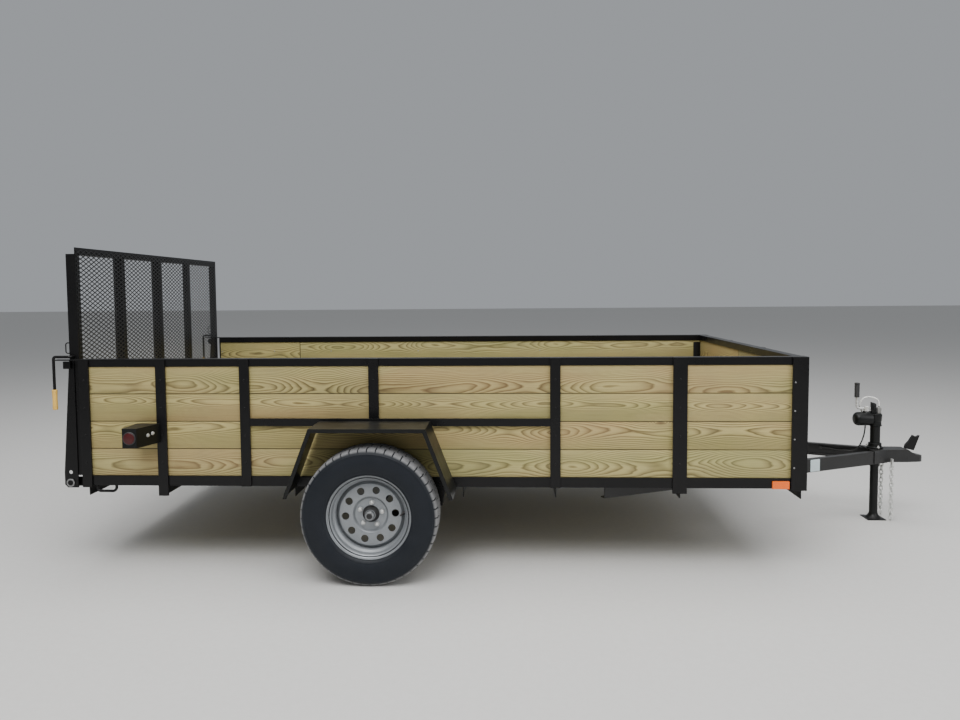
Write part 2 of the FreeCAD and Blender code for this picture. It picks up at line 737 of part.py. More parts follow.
def turned(points):
    """A ring about the axle from (distance outward from the wheel's middle, radius) points."""
    rings = [ring_about((AXLE_X, WHEEL_MID + y, AXLE_Z), (0, 1, 0), r, WHEEL_SIDES) for y, r in points]
    return solid_through(rings, closed=True)


def tyre():
    half = TYRE_WIDTH / 2
    bead = RIM_WIDTH / 2 - RIM_FLANGE - SEAT_GAP
    outer_half = [
        (half - TYRE_SHOULDER, TYRE_RADIUS), (half - 16, TYRE_RADIUS - 11), (half - 4, TYRE_RADIUS - TYRE_SIDE_DROP),
        (half, RIM_RADIUS + TYRE_BULGE_UP), (half - 14, RIM_RADIUS + SEAT_GAP),
        (bead, RIM_RADIUS + SEAT_GAP), (bead, RIM_SEAT_RADIUS + SEAT_GAP),
    ]
    return turned([(-y, r) for y, r in outer_half[::-1]] + outer_half)


def wheel():
    """Rim with its dropped middle, and the dished disc with its ring of holes."""
    half = RIM_WIDTH / 2
    inside = RIM_SEAT_RADIUS - RIM_WALL
    well = RIM_WELL
    barrel = [
        (-half, RIM_RADIUS - RIM_WALL), (-half + RIM_SLOPE_IN, inside), (well[0], inside),
        (well[1], inside - RIM_DROP), (well[2], inside - RIM_DROP), (well[3], inside),
        (half - RIM_SLOPE_OUT, inside), (half, RIM_RADIUS - RIM_WALL),
        (half, RIM_RADIUS), (half - RIM_FLANGE, RIM_RADIUS), (half - RIM_FLANGE, RIM_SEAT_RADIUS),
        (-half + RIM_FLANGE, RIM_SEAT_RADIUS), (-half + RIM_FLANGE, RIM_RADIUS), (-half, RIM_RADIUS),
    ]
    face = HUB_FACE + DISC_WALL
    crown = HUB_FACE + DISC_CROWN_RISE
    slope_foot = DISC_CROWN_INNER - (DISC_CROWN_RISE - DISC_WALL) * DISC_SLOPE / DISC_WALL
    disc = [
        (HUB_FACE, HUB_BORE_RADIUS), (face, HUB_BORE_RADIUS), (face, slope_foot),
        (crown, DISC_CROWN_INNER), (crown, DISC_CROWN_OUTER), (HUB_FACE + RIM_WALL, DISC_WELD),
        (HUB_FACE, DISC_WELD), (crown - DISC_WALL, DISC_CROWN_OUTER - DISC_SLOPE),
        (crown - DISC_WALL, DISC_CROWN_INNER + DISC_SLOPE), (HUB_FACE, slope_foot + DISC_SLOPE),
    ]
    holes = []
    for number in range(DISC_HOLE_COUNT):
        angle = math.radians(DISC_HOLE_START + number * 360 / DISC_HOLE_COUNT)
        x = AXLE_X + DISC_HOLE_CIRCLE * math.cos(angle)
        z = AXLE_Z + DISC_HOLE_CIRCLE * math.sin(angle)
        holes.append(flat_rod((x, WHEEL_MID, z), (x, WHEEL_MID + half, z), DISC_HOLE_RADIUS, HOLE_SIDES))
    return fused([turned(barrel), turned(disc)]).cut(holes)


def nut_places():
    places = []
    for number in range(NUT_COUNT):
        angle = math.radians(NUT_START + number * 360 / NUT_COUNT)
        places.append((AXLE_X + NUT_CIRCLE * math.cos(angle), AXLE_Z + NUT_CIRCLE * math.sin(angle)))
    return places


def hub():
    middle = (AXLE_X, WHEEL_MID, AXLE_Z)
    front = HUB_FACE - SEAT_GAP
    back = front - HUB_FLANGE_THICK
    body = spun(middle, (0, 1, 0), [
        (-HUB_TAIL, HUB_TAIL_RADIUS), (back, HUB_BORE_RADIUS), (back, HUB_FLANGE_RADIUS),
        (front, HUB_FLANGE_RADIUS), (front, HUB_SPIGOT_RADIUS), *HUB_NOSE_STEPS,
    ], PIPE_SIDES)
    bore_end = WHEEL_MID + SPINDLE_LONG + 4
    bore_start = WHEEL_MID - HUB_TAIL - SPINDLE_RADIUS
    return body.cut(rod((AXLE_X, bore_start, AXLE_Z), (AXLE_X, bore_end, AXLE_Z), SPINDLE_RADIUS + HUB_CLEARANCE))


def nuts():
    y0 = WHEEL_MID + HUB_FACE + DISC_WALL + SEAT_GAP
    return [flat_rod((x, y0, z), (x, y0 + NUT_HEIGHT, z), NUT_HALF, 6) for x, z in nut_places()]


def fender():
    """Three flat plates with a lip along the outer edge, left side."""
    def outline(inset):
        slope = (FENDER_HALF_BASE - FENDER_HALF_TOP) / (FENDER_TOP - FRAME_BOTTOM)
        side = inset * math.hypot(1, slope)
        corner = FENDER_HALF_TOP - side + slope * inset
        base = FENDER_HALF_BASE - side
        return [
            (AXLE_X - base, FRAME_BOTTOM), (AXLE_X - corner, FENDER_TOP - inset),
            (AXLE_X + corner, FENDER_TOP - inset), (AXLE_X + base, FRAME_BOTTOM),
        ]

    y0 = HALF_WIDTH
    y1 = HALF_WIDTH + FENDER_OUT
    shell = side_prism(outline(0.0), y0, y1)
    hollow = side_prism(outline(FENDER_SHEET), y0, y1 - FENDER_SHEET)
    mouth = side_prism(outline(FENDER_LIP), y1 - FENDER_SHEET - 1, y1 + 1)
    return shell.cut(hollow).cut(mouth)


def light_box():
    """Sheet box on the rear side post with one sloped face, left side."""
    post = POSTS[4]
    x_post = place_x(post)
    x_rear = x_post - LIGHT_BEHIND_REAR
    x_front = x_post - LIGHT_BEHIND_FRONT
    x_root = x_post - post["width"] / 2 + 20
    y_in = HALF_WIDTH
    y_out = HALF_WIDTH + LIGHT_OUT
    z0 = LIGHT_BOTTOM
    z1 = LIGHT_BOTTOM + LIGHT_HEIGHT
    plan = [(x_rear, y_in), (x_rear, y_out), (x_front, y_out), (x_root, y_in)]
    t = LIGHT_SHEET
    inside = [(x_rear + t, y_in), (x_rear + t, y_out - t), (x_front - t * 0.7, y_out - t), (x_root - t, y_in)]
    shape = plan_prism(plan, z0, z1).cut(plan_prism(inside, z0 + t, z1 - t))
    z_mid = (z0 + z1) / 2
    x_mid = (x_rear + x_front) / 2
    hole_side = flat_rod((x_mid, y_out - 20, z_mid), (x_mid, y_out + 5, z_mid), SIDE_LAMP_RADIUS - 4)
    y_tail = (y_in + y_out) / 2
    hole_rear = flat_rod((x_rear - 5, y_tail, z_mid), (x_rear + 20, y_tail, z_mid), TAIL_LAMP_RADIUS - 4)
    shape = shape.cut(hole_side).cut(hole_rear)
    side = lamp((x_mid, y_out + 0.2, z_mid), (0, 1, 0), SIDE_LAMP_RADIUS)
    tail = lamp((x_rear - 0.2, y_tail, z_mid), (-1, 0, 0), TAIL_LAMP_RADIUS)
    return shape, side, tail


def lamp(seat, facing, radius):
    """A round lens with a rim, sitting on a panel, and the plug behind it."""
    return spun(seat, facing, [
        (-14.0, radius - 5), (0.0, radius - 5), (0.0, radius), (4.0, radius), (4.0, radius - 4), (LAMP_DEPTH, radius - 10),
    ], PIN_SIDES)


def reflector():
    x1 = -REFLECTOR_BACK
    x0 = x1 - REFLECTOR_LENGTH
    return block(x0, x1, RAIL_FACE, RAIL_FACE + REFLECTOR_THICK, FRAME_BOTTOM, FRAME_BOTTOM + REFLECTOR_HEIGHT)


def coupler_plan(grow):
    """Upright prism of the coupler's outline, grown outward from the space for the rails."""
    half_widths = [
        (COUPLER_START, tongue_outer_y(COUPLER_START) + SEAT_GAP),
        (TONGUE_END, TONGUE_TIP_HALF + SEAT_GAP),
        (COUPLER_SHOULDER, COUPLER_SHOULDER_HALF - COUPLER_WALL),
        (COUPLER_NOSE - COUPLER_NOSE_RADIUS, COUPLER_NOSE_RADIUS - COUPLER_WALL),
    ]
    left = [(x, half + grow) for x, half in half_widths]
    arm = plan_prism(left + [(x, -y) for x, y in left[::-1]], COUPLER_BOTTOM - 1, COUPLER_TOP + 1)
    nose_x, tip = left[-1]
    end = flat_rod((nose_x, 0, COUPLER_BOTTOM - 1), (nose_x, 0, COUPLER_TOP + 1), tip, PIPE_SIDES)
    return arm.fuse(end)


def coupler_side(lift, low):
    """Prism of the coupler's side view, lowered by the lift."""
    slope_end = COUPLER_SHOULDER + COUPLER_SLOPE_LENGTH
    return side_prism(
        [(COUPLER_START, low), (COUPLER_NOSE + 1, low), (COUPLER_NOSE + 1, COUPLER_NOSE_TOP - lift),
         (slope_end, COUPLER_NOSE_TOP + COUPLER_SLOPE_END - lift), (COUPLER_SHOULDER, COUPLER_TOP - lift),
         (COUPLER_START, COUPLER_TOP - lift)],
        -HALF_WIDTH, HALF_WIDTH,
    )


def coupler():
    """Hollow ball coupler over the front ends of the tongue rails, pierced by the jack's tube."""
    outside = coupler_plan(COUPLER_WALL).common(coupler_side(0.0, COUPLER_BOTTOM))
    inside = coupler_plan(0.0).common(coupler_side(COUPLER_WALL, COUPLER_BOTTOM - 2))
    return outside.cut(inside).cut(jack_hole()).removeSplitter()


def coupler_latch():
    """Lever standing on the coupler's slope, with a notch in its top."""
    points = [(COUPLER_SHOULDER + row["ahead"], COUPLER_TOP + row["up"]) for row in LEVER_OUTLINE]
    lever = side_prism(points, -LEVER_HALF, LEVER_HALF)
    return lever.cut(coupler_side(0.0, COUPLER_BOTTOM))


def jack_hole():
    return flat_rod((JACK_X, 0, TONGUE_BOTTOM), (JACK_X, 0, JACK_HEAD_BOTTOM), JACK_TUBE_RADIUS + SEAT_GAP, PIPE_SIDES)


def jack_plate():
    """Flange that is bolted on the coupler, with the collar that holds the tube."""
    thick = JACK_PLATE_THICK
    collar = JACK_TUBE_RADIUS + 9
    flange = spun((JACK_X, 0, COUPLER_TOP), (0, 0, 1), [
        (0.0, JACK_PLATE_RADIUS), (thick, JACK_PLATE_RADIUS), (thick, collar), (thick + JACK_COLLAR_HEIGHT, collar),
    ], PIPE_SIDES)
    return flange.cut(jack_hole())


def jack_tube():
    low = (JACK_X, 0, JACK_TUBE_BOTTOM)
    high = (JACK_X, 0, JACK_HEAD_BOTTOM)
    return flat_rod(low, high, JACK_TUBE_RADIUS, PIPE_SIDES).cut(flat_rod(low, high, JACK_BORE, PIPE_SIDES))


def jack_head():
    """Gear case: a collar over the tube, a bulging case behind it, the nut's seat and a lug."""
    collar = flat_rod((JACK_X, 0, JACK_HEAD_BOTTOM), (JACK_X, 0, JACK_HEAD_TOP), JACK_HEAD_RADIUS, PIPE_SIDES)
    case = solid_through([
        ring_about((JACK_X - row["back"], 0, JACK_HEAD_BOTTOM + row["up"]), (1, 0, 0), row["radius"], PIN_SIDES)
        for row in JACK_CASE])
    nut_x = JACK_X - JACK_NUT_BACK
    seat = flat_rod((nut_x, 0, JACK_HEAD_BOTTOM + JACK_HEAD_RADIUS), (nut_x, 0, JACK_HEAD_TOP + JACK_NUT_SEAT_UP),
                    JACK_NUT_RADIUS)
    lug_top = JACK_HEAD_TOP + JACK_LUG_UP
    lug_x = JACK_X - JACK_LUG_BACK
    lug = side_prism(
        [(lug_x, JACK_HEAD_TOP - 12), (JACK_X, JACK_HEAD_TOP - 12), (JACK_X, lug_top - 20), (JACK_X - 6, lug_top - 7),
         (JACK_X - 16, lug_top), (lug_x, lug_top)],
        -JACK_LUG_HALF, JACK_LUG_HALF,
    )
    bore_top = JACK_TUBE_BOTTOM + JACK_OVERLAP + JACK_TRAVEL + 4
    bore = flat_rod((JACK_X, 0, JACK_HEAD_BOTTOM), (JACK_X, 0, bore_top), JACK_BORE, PIPE_SIDES)
    return fused([collar, case, seat, lug]).cut(bore)


def jack_crank():
    """Nut on the head's shaft and the bent bar that carries the grip."""
    x = JACK_X - JACK_NUT_BACK
    z0 = JACK_HEAD_TOP + JACK_NUT_SEAT_UP + SEAT_GAP
    arm_z = z0 + JACK_NUT_HEIGHT * 0.6
    nut = flat_rod((x, 0, z0), (x, 0, z0 + JACK_NUT_HEIGHT), JACK_NUT_RADIUS)
    points = [(x, 0, arm_z), (JACK_CRANK_X, 0, arm_z), (JACK_CRANK_X, 0, JACK_GRIP_BOTTOM)]
    return fused([nut, bent_bar(points, JACK_ARM_RADIUS, [JACK_ARM_RADIUS * 2])])


def jack_grip():
    x = JACK_CRANK_X
    return flat_rod((x, 0, JACK_GRIP_BOTTOM), (x, 0, JACK_GRIP_TOP), JACK_GRIP_RADIUS)


def jack_ram():
    """Sliding inner tube with the flared foot."""
    ram_radius = JACK_BORE - JACK_RAM_CLEAR
    thick = JACK_FOOT_THICK
    inner = spun((JACK_X, 0, 0), (0, 0, 1), [
        (thick / 2, JACK_FOOT_HALF - 10), (thick, JACK_FOOT_HALF - 10), (thick + JACK_FLARE_HEIGHT, ram_radius + 1),
        (thick + JACK_FLARE_HEIGHT, ram_radius), (JACK_TUBE_BOTTOM + JACK_OVERLAP, ram_radius),
    ], PIPE_SIDES)
    plate = block(JACK_X - JACK_FOOT_HALF, JACK_X + JACK_FOOT_HALF, -JACK_FOOT_HALF, JACK_FOOT_HALF, 0, thick)
    return fused([inner, plate])


def cord_points():
    in_rail = [tongue_point(row["back"], row["in"], row["z"]) for row in CORD_IN_RAIL]
    return in_rail + [(row["x"], row["y"], row["z"]) for row in CORD_BY_JACK]


def cord_bends(points):
    """Radius of the arc at each inner point, as large as its two runs allow."""
    radii = []
    for before, corner, after in zip(points, points[1:], points[2:]):
        first = V(*corner) - V(*before)
        second = V(*after) - V(*corner)
        radii.append(0.45 * min(first.Length, second.Length) / math.tan(first.getAngle(second) / 2))
    return radii


def harness_cord():
    points = cord_points()
    radii = cord_bends(points)
    print("cord radii", [round(radius) for radius in radii])
    return bent_bar(points, CORD_RADIUS, radii)


def harness_clip():
    """Clip on the web of the left tongue rail that the cord comes out of."""
    front = TONGUE_LENGTH - CORD_IN_RAIL[0]["back"]
    z_mid = CORD_IN_RAIL[0]["z"]
    half = CORD_CLIP_TALL / 2
    return tongue_frame(block(
        front - CORD_CLIP_LENGTH, front, -TONGUE_WALL - CORD_CLIP_DEEP, -TONGUE_WALL, z_mid - half, z_mid + half))


def harness_plug():
    """Square plug with a narrower neck, standing on the jack's head."""
    x, y, top = cord_points()[-1]
    neck = block(x - PLUG_NECK_HALF, x + PLUG_NECK_HALF, y - PLUG_NECK_HALF, y + PLUG_NECK_HALF, top - PLUG_NECK, top)
    body = block(x - PLUG_HALF, x + PLUG_HALF, y - PLUG_HALF, y + PLUG_HALF, JACK_HEAD_TOP + SEAT_GAP, top - PLUG_NECK)
    return fused([body, neck])


def link(length, width, wire, middle, turned_round):
    """One flat-sided chain link hanging in the plane of X and Z or, turned round, of Y and Z."""
    corner = width * LINK_CORNER
    outer = side_prism(ring_outline(length / 2, width / 2, corner), -wire / 2, wire / 2)
    inner = side_prism(ring_outline(length / 2 - wire, width / 2 - wire, corner / 3), -wire, wire)
    body = outer.cut(inner)
    if turned_round:
        body.rotate(V(0, 0, 0), V(0, 0, 1), 90)
    body.translate(V(*middle))
    return body


def ring_outline(half_length, half_width, cut):
    """Eight corners of a link's outline, as (x, z) points."""
    corners = []
    for x_sign, z_sign in ((1, 1), (-1, 1), (-1, -1), (1, -1)):
        high = (x_sign * (half_width - cut), z_sign * half_length)
        wide = (x_sign * half_width, z_sign * (half_length - cut))
        corners.extend([wide, high] if x_sign == z_sign else [high, wide])
    return corners


def chain_top():
    """Height of the middle of the top wire of the first link."""
    return TONGUE_BOTTOM - CHAIN_TAB_DROP


def chain():
    """Links of the left chain, each hung on the one above, and the hook on the last."""
    length = LINK_PITCH + 2 * LINK_WIRE + SEAT_GAP
    first = chain_top() - (length - LINK_WIRE) / 2
    links = []
    for number in range(LINK_COUNT):
        middle = (CHAIN_X, CHAIN_OUT, first - number * LINK_PITCH)
        links.append(link(length, LINK_WIDTH, LINK_WIRE, middle, number % 2 == 1))
    last_wire = first - (LINK_COUNT - 1) * LINK_PITCH - (length - LINK_WIRE) / 2
    eye_half = HOOK_EYE / 2
    eye_z = last_wire + LINK_WIRE / 2 + SEAT_GAP + HOOK_WIRE - eye_half
    eye = link(HOOK_EYE, HOOK_EYE, HOOK_WIRE, (CHAIN_X, CHAIN_OUT, eye_z), LINK_COUNT % 2 == 1)
    bend_z = eye_z - eye_half + HOOK_WIRE - HOOK_BEND / 2
    bend = link(HOOK_BEND, HOOK_BEND * 0.85, HOOK_WIRE, (CHAIN_X, CHAIN_OUT, bend_z), LINK_COUNT % 2 == 1)
    throat = HOOK_BEND * 0.28
    bend = bend.cut(block(
        CHAIN_X - HOOK_WIRE, CHAIN_X + HOOK_BEND, CHAIN_OUT + HOOK_WIRE * 0.6, CHAIN_OUT + HOOK_BEND,
        bend_z, bend_z + throat,
    ))
    return links + [fused([eye, bend])]


def chain_tab():
    """Plate on the left side of the coupler, with a hole for the first link."""
    x0 = CHAIN_X - CHAIN_TAB_THICK / 2
    x1 = CHAIN_X + CHAIN_TAB_THICK / 2
    y1 = CHAIN_OUT + CHAIN_TAB_REACH
    plate = block(x0, x1, 0, y1, chain_top() - CHAIN_TAB_REACH, COUPLER_BOTTOM + CHAIN_TAB_RISE)
    hole = flat_rod((x0, CHAIN_OUT, chain_top()), (x1, CHAIN_OUT, chain_top()), LINK_WIRE * 0.8, HOLE_SIDES)
    under_coupler = block(x0, x1, 0, CHAIN_OUT - CHAIN_TAB_REACH, 0, COUPLER_BOTTOM)
    return plate.cut([coupler_plan(COUPLER_WALL), hole, under_coupler])


def gate_uprights():
    """Angle uprights of the gate, one leg in its face and one leg to the rear."""
    face = GATE_X - MESH_THICK
    z0 = GATE_BOTTOM + GATE_WALL
    z1 = GATE_TOP - GATE_RAIL
    inner = GATE_HALF_WIDTH - HINGE_PLATE_THICK
    uprights = []
    for number in range(GATE_BAYS + 1):
        y = -inner + number * 2 * inner / GATE_BAYS
        turn = 1 if number <= GATE_BAYS / 2 else -1
        y0, y1 = sorted((y, y + turn * GATE_WALL))
        y2, y3 = sorted((y, y + turn * GATE_RAIL))
        deep = block(face - GATE_LEG, face, y0, y1, z0, z1)
        flat = block(face - GATE_WALL, face, y2, y3, z0, z1)
        bar = fused([deep, flat])
        for rail in gate_rails():
            bar = bar.cut(rail)
        uprights.append(bar)
    return uprights


def gate_rails():
    """Top and bottom angle rails of the gate."""
    face = GATE_X - MESH_THICK
    half = GATE_HALF_WIDTH - HINGE_PLATE_THICK
    rails = []
    for z in (GATE_TOP - GATE_RAIL, GATE_BOTTOM):
        web = block(face - GATE_WALL, face, -half, half, z, z + GATE_RAIL)
        foot = block(face - GATE_LEG, face, -half, half, z, z + GATE_WALL)
        rails.append(fused([web, foot]))
    return rails


def gate_mesh():
    """Expanded mesh as one sheet with staggered diamonds."""
    half = GATE_HALF_WIDTH - HINGE_PLATE_THICK
    cell = 2 * half / MESH_CELLS_ACROSS
    height = GATE_TOP - GATE_BOTTOM
    rows = int(2 * height / MESH_CELL_HEIGHT) - 1
    row_step = height / (rows + 1)
    reach_y = cell / 2 - MESH_STRAND * cell / MESH_CELL_HEIGHT
    reach_z = row_step - MESH_STRAND

    def wire(points):
        return Part.makePolygon([V(GATE_X - MESH_THICK, y, z) for y, z in points + points[:1]])

    wires = [wire([(-half, GATE_BOTTOM), (half, GATE_BOTTOM), (half, GATE_TOP), (-half, GATE_TOP)])]
    for row in range(1, rows + 1):
        z = GATE_BOTTOM + row * row_step
        staggered = row % 2 == 0
        for column in range(MESH_CELLS_ACROSS - (1 if staggered else 0)):
            y = -half + (column + (1.0 if staggered else 0.5)) * cell
            wires.append(wire([(y - reach_y, z), (y, z + reach_z), (y + reach_y, z), (y, z - reach_z)]))
    face = Part.makeFace(wires, "Part::FaceMakerBullseye")
    return face.extrude(V(MESH_THICK, 0, 0))


def hinge_plate():
    """Tapered plate at the gate's left end, with the hinge tube through its foot."""
    y0 = GATE_HALF_WIDTH - HINGE_PLATE_THICK
    y1 = GATE_HALF_WIDTH
    x_front = GATE_X - MESH_THICK - GATE_LEG / 2
    x_rear_top = GATE_X - MESH_THICK - GATE_LEG
    x_rear_low = GATE_X - HINGE_PLATE_DEPTH
    plate = side_prism(
        [(x_front, HINGE_PLATE_TOP), (x_front, HINGE_PLATE_FOOT), (x_rear_low + HINGE_PLATE_CORNER, HINGE_PLATE_FOOT),
         (x_rear_low, HINGE_PLATE_FOOT + HINGE_PLATE_CORNER), (x_rear_low, HINGE_PLATE_FOOT + HINGE_PLATE_UPRIGHT),
         (x_rear_top, HINGE_PLATE_TOP)],
        y0, y1,
    )
    tube = flat_rod((HINGE_X, y0 - HINGE_TUBE_IN, HINGE_Z), (HINGE_X, y1 + HINGE_TUBE_OUT, HINGE_Z), HINGE_TUBE_RADIUS)
    bore = rod((HINGE_X, y0 - 60, HINGE_Z), (HINGE_X, y1 + 30, HINGE_Z), HINGE_PIN_RADIUS + HINGE_CLEARANCE)
    spare_z = HINGE_Z + SPARE_HOLE_UP
    spare = flat_rod((HINGE_X, y0 - 5, spare_z), (HINGE_X, y1 + 5, spare_z), SPARE_HOLE_RADIUS)
    return fused([plate, tube]).cut(bore).cut(spare)


def hinge_ear():
    """Ear on the left of the rear rail with its fixed pin."""
    y1 = GATE_HALF_WIDTH - HINGE_PLATE_THICK - HINGE_TUBE_IN - EAR_GAP
    y0 = y1 - EAR_THICK
    x_root = REAR_RAIL_FACE
    arm = side_prism(
        [(x_root, FRAME_BOTTOM), (x_root, HINGE_Z + EAR_HALF), (HINGE_X, HINGE_Z + EAR_HALF),
         (HINGE_X, HINGE_Z - EAR_HALF), (x_root - EAR_ROOT, HINGE_Z - EAR_HALF)],
        y0, y1,
    )
    boss = flat_rod((HINGE_X, y0, HINGE_Z), (HINGE_X, y1, HINGE_Z), EAR_HALF)
    pin_end = GATE_HALF_WIDTH + HINGE_TUBE_OUT
    pin = flat_rod((HINGE_X, y0, HINGE_Z), (HINGE_X, pin_end, HINGE_Z), HINGE_PIN_RADIUS, PIPE_SIDES)
    return fused([arm, boss, pin])


def bent_bar(points, radius, bends):
    """An eight-sided bar along straight runs joined by bends of the given radii."""
    spots = [V(*point) for point in points]
    path = [spots[0]]
    for number, bend in enumerate(bends):
        corner = spots[number + 1]
        before = (spots[number] - corner).normalize()
        after = (spots[number + 2] - corner).normalize()
        half_turn = (math.pi - before.getAngle(after)) / 2
        centre = corner + (before + after).normalize() * (bend / math.cos(half_turn))
        reach = bend * math.tan(half_turn)
        start = corner + before * reach - centre
        end = corner + after * reach - centre
        for step in range(BEND_STEPS + 1):
            share = step / BEND_STEPS
            turn = 2 * half_turn
            spot = (start * math.sin((1 - share) * turn) + end * math.sin(share * turn)) * (1 / math.sin(turn))
            path.append(centre + spot)
    path.append(spots[-1])
    heading = (path[1] - path[0]).normalize()
    flat = (spots[1] - spots[0]).cross(spots[2] - spots[1]).normalize()
    across = heading.cross(flat)
    angles = [2 * math.pi * (side + 0.5) / HOLE_SIDES for side in range(HOLE_SIDES)]
    rings = [[path[0] + flat * (radius * math.cos(a)) + across * (radius * math.sin(a)) for a in angles]]
    for number in range(1, len(path)):
        heading = (path[number] - path[number - 1]).normalize()
        mitre = heading
        if number + 1 < len(path):
            mitre = heading + (path[number + 1] - path[number]).normalize()
        rings.append([
            spot + heading * ((path[number] - spot).dot(mitre) / heading.dot(mitre)) for spot in rings[-1]])
    return solid_through(rings)


def latch_strap():
    x0 = -BOX_LENGTH - STRAP_REACH
    return block(x0, -BOX_LENGTH, STRAP_IN, HALF_WIDTH, BOX_TOP - STRAP_THICK, BOX_TOP)


def latch_rod():
    y = (STRAP_IN + HALF_WIDTH) / 2
    x_bend = -(BOX_LENGTH + ROD_FRONT_BACK)
    seat = GATE_HALF_WIDTH - HINGE_PLATE_THICK
    points = [(x_bend, seat, ROD_Z), (x_bend, y, ROD_Z), (ROD_X, y, ROD_Z), (ROD_X, y, ROD_Z - ROD_DROP + GRIP_LENGTH)]
    return bent_bar(points, ROD_RADIUS, [ROD_RADIUS * 1.6, ROD_RADIUS * 2.6])


def latch_grip():
    y = (STRAP_IN + HALF_WIDTH) / 2
    top = ROD_Z - ROD_DROP + GRIP_LENGTH
    return flat_rod((ROD_X, y, top - GRIP_LENGTH), (ROD_X, y, top), GRIP_RADIUS)


def catch_block():
    x1 = GATE_X - MESH_THICK - GATE_LEG / 2 - 12
    z1 = BOX_TOP - STRAP_THICK - CATCH_GAP
    return block(x1 - CATCH_SIZE, x1, GATE_HALF_WIDTH, GATE_HALF_WIDTH + CATCH_DEEP, z1 - CATCH_SIZE, z1)


def gate_loop():
    """Small closed loop on the rear edge of the gate's end upright."""
    x0 = GATE_X - MESH_THICK - GATE_LEG
    y1 = GATE_HALF_WIDTH - HINGE_PLATE_THICK
    z0 = BOX_TOP + 26
    z1 = z0 + LOOP_TALL
    outer = block(x0 - LOOP_DEEP, x0, y1 - LOOP_WIRE, y1, z0, z1)
    hole = block(x0 - LOOP_DEEP + LOOP_WIRE, x0 - LOOP_WIRE / 2, y1 - 20, y1 + 20, z0 + LOOP_WIRE, z1 - LOOP_WIRE)
    return outer.cut(hole)


def tie_loop():
    """Bar loop under the rear of the left side rail."""
    y = RAIL_FACE - LOOP_BAR
    low = FRAME_BOTTOM - LOOP_DROP + LOOP_BAR / 2
    x0 = LOOP_X + LOOP_BAR / 2
    x1 = x0 + LOOP_LENGTH - LOOP_BAR
    points = [(x0, y, FRAME_BOTTOM), (x0, y, low), (x1, y, low), (x1, y, FRAME_BOTTOM)]
    return bent_bar(points, LOOP_BAR / 2, [LOOP_BAR, LOOP_BAR])


def all_nodes():
    """Every piece by its node's name, before the last move along X."""
    left_posts = side_posts()
    left_boards = side_boards()
    seats, u_bolts = spring_seats()
    brackets, bracket_bolts = hangers()
    box_shape, side_lamp, tail_lamp = light_box()
    left_mid = mid_rails()
    pieces = {
        "side_rails": side_rails(),
        "end_rails": end_rails(),
        "cross_members": cross_members(),
        "side_posts_left": left_posts,
        "side_posts_right": [mirrored(post) for post in left_posts],
        "front_posts": front_posts(),
        "top_rails": top_rails(),
        "top_rail_front": top_rail_front(),
        "mid_rails": left_mid,
        "side_boards_left": left_boards,
        "side_boards_right": [mirrored(board) for board in left_boards],
        "front_boards": front_boards(),
        "deck_boards": deck_boards(),
        "tongue_rails": both_sides([tongue_rail()]),
        "coupler": [coupler()],
        "coupler_latch": [coupler_latch()],
        "jack_plate": [jack_plate()],
        "jack_tube": [jack_tube()],
        "jack_head": [jack_head()],
        "jack_crank": [jack_crank()],
        "jack_grip": [jack_grip()],
        "jack_ram": [jack_ram()],
        "harness_clip": [harness_clip()],
        "harness_cord": [harness_cord()],
        "harness_plug": [harness_plug()],
        "axle": axle(),
        "springs": both_sides(springs()),
        "spring_seats": both_sides(seats),
        "u_bolts": both_sides(u_bolts),
        "hangers": both_sides(brackets),
        "hanger_bolts": both_sides(bracket_bolts),
        "fender_left": [fender()],
        "fender_right": [mirrored(fender())],
        "light_boxes": both_sides([box_shape]),
        "side_lamps": both_sides([side_lamp]),
        "tail_lamps": both_sides([tail_lamp]),
        "reflectors": both_sides([reflector()]),
        "chain_tabs": both_sides([chain_tab()]),
        "safety_chain_left": chain(),
        "safety_chain_right": [mirrored(piece) for piece in chain()],
        "tie_loops": both_sides([tie_loop()]),
        "hinge_ears": both_sides([hinge_ear()]),
        "latch_straps": both_sides([latch_strap()]),
        "gate_uprights": gate_uprights(),
        "gate_rails": gate_rails(),
        "gate_mesh": [gate_mesh()],
        "hinge_plates": both_sides([hinge_plate()]),
        "latch_rods": both_sides([latch_rod()]),
        "latch_grips": both_sides([latch_grip()]),
        "catch_blocks": both_sides([catch_block()]),
        "gate_loops": both_sides([gate_loop()]),
    }
    for side, place in (("left", lambda shape: shape), ("right", mirrored)):
        pieces["tyre_" + side] = [place(tyre())]
        pieces["wheel_" + side] = [place(wheel())]
        pieces["hub_" + side] = [place(hub())]
        pieces["wheel_nuts_" + side] = [place(nut) for nut in nuts()]
    return pieces


def main():
    os.makedirs("parts", exist_ok=True)
    for name, shapes in all_nodes().items():
        whole = shapes[0] if len(shapes) == 1 else Part.makeCompound(shapes)
        whole = whole.copy()
        whole.translate(V(-MIDDLE_X, 0, 0))
        whole.exportStep("parts/" + name + ".step")


main()
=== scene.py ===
"""Looks of a single-axle utility trailer with a boarded box and a mesh ramp gate."""
import json
import math
import random

import bmesh
import bpy
from mathutils import Matrix, Vector


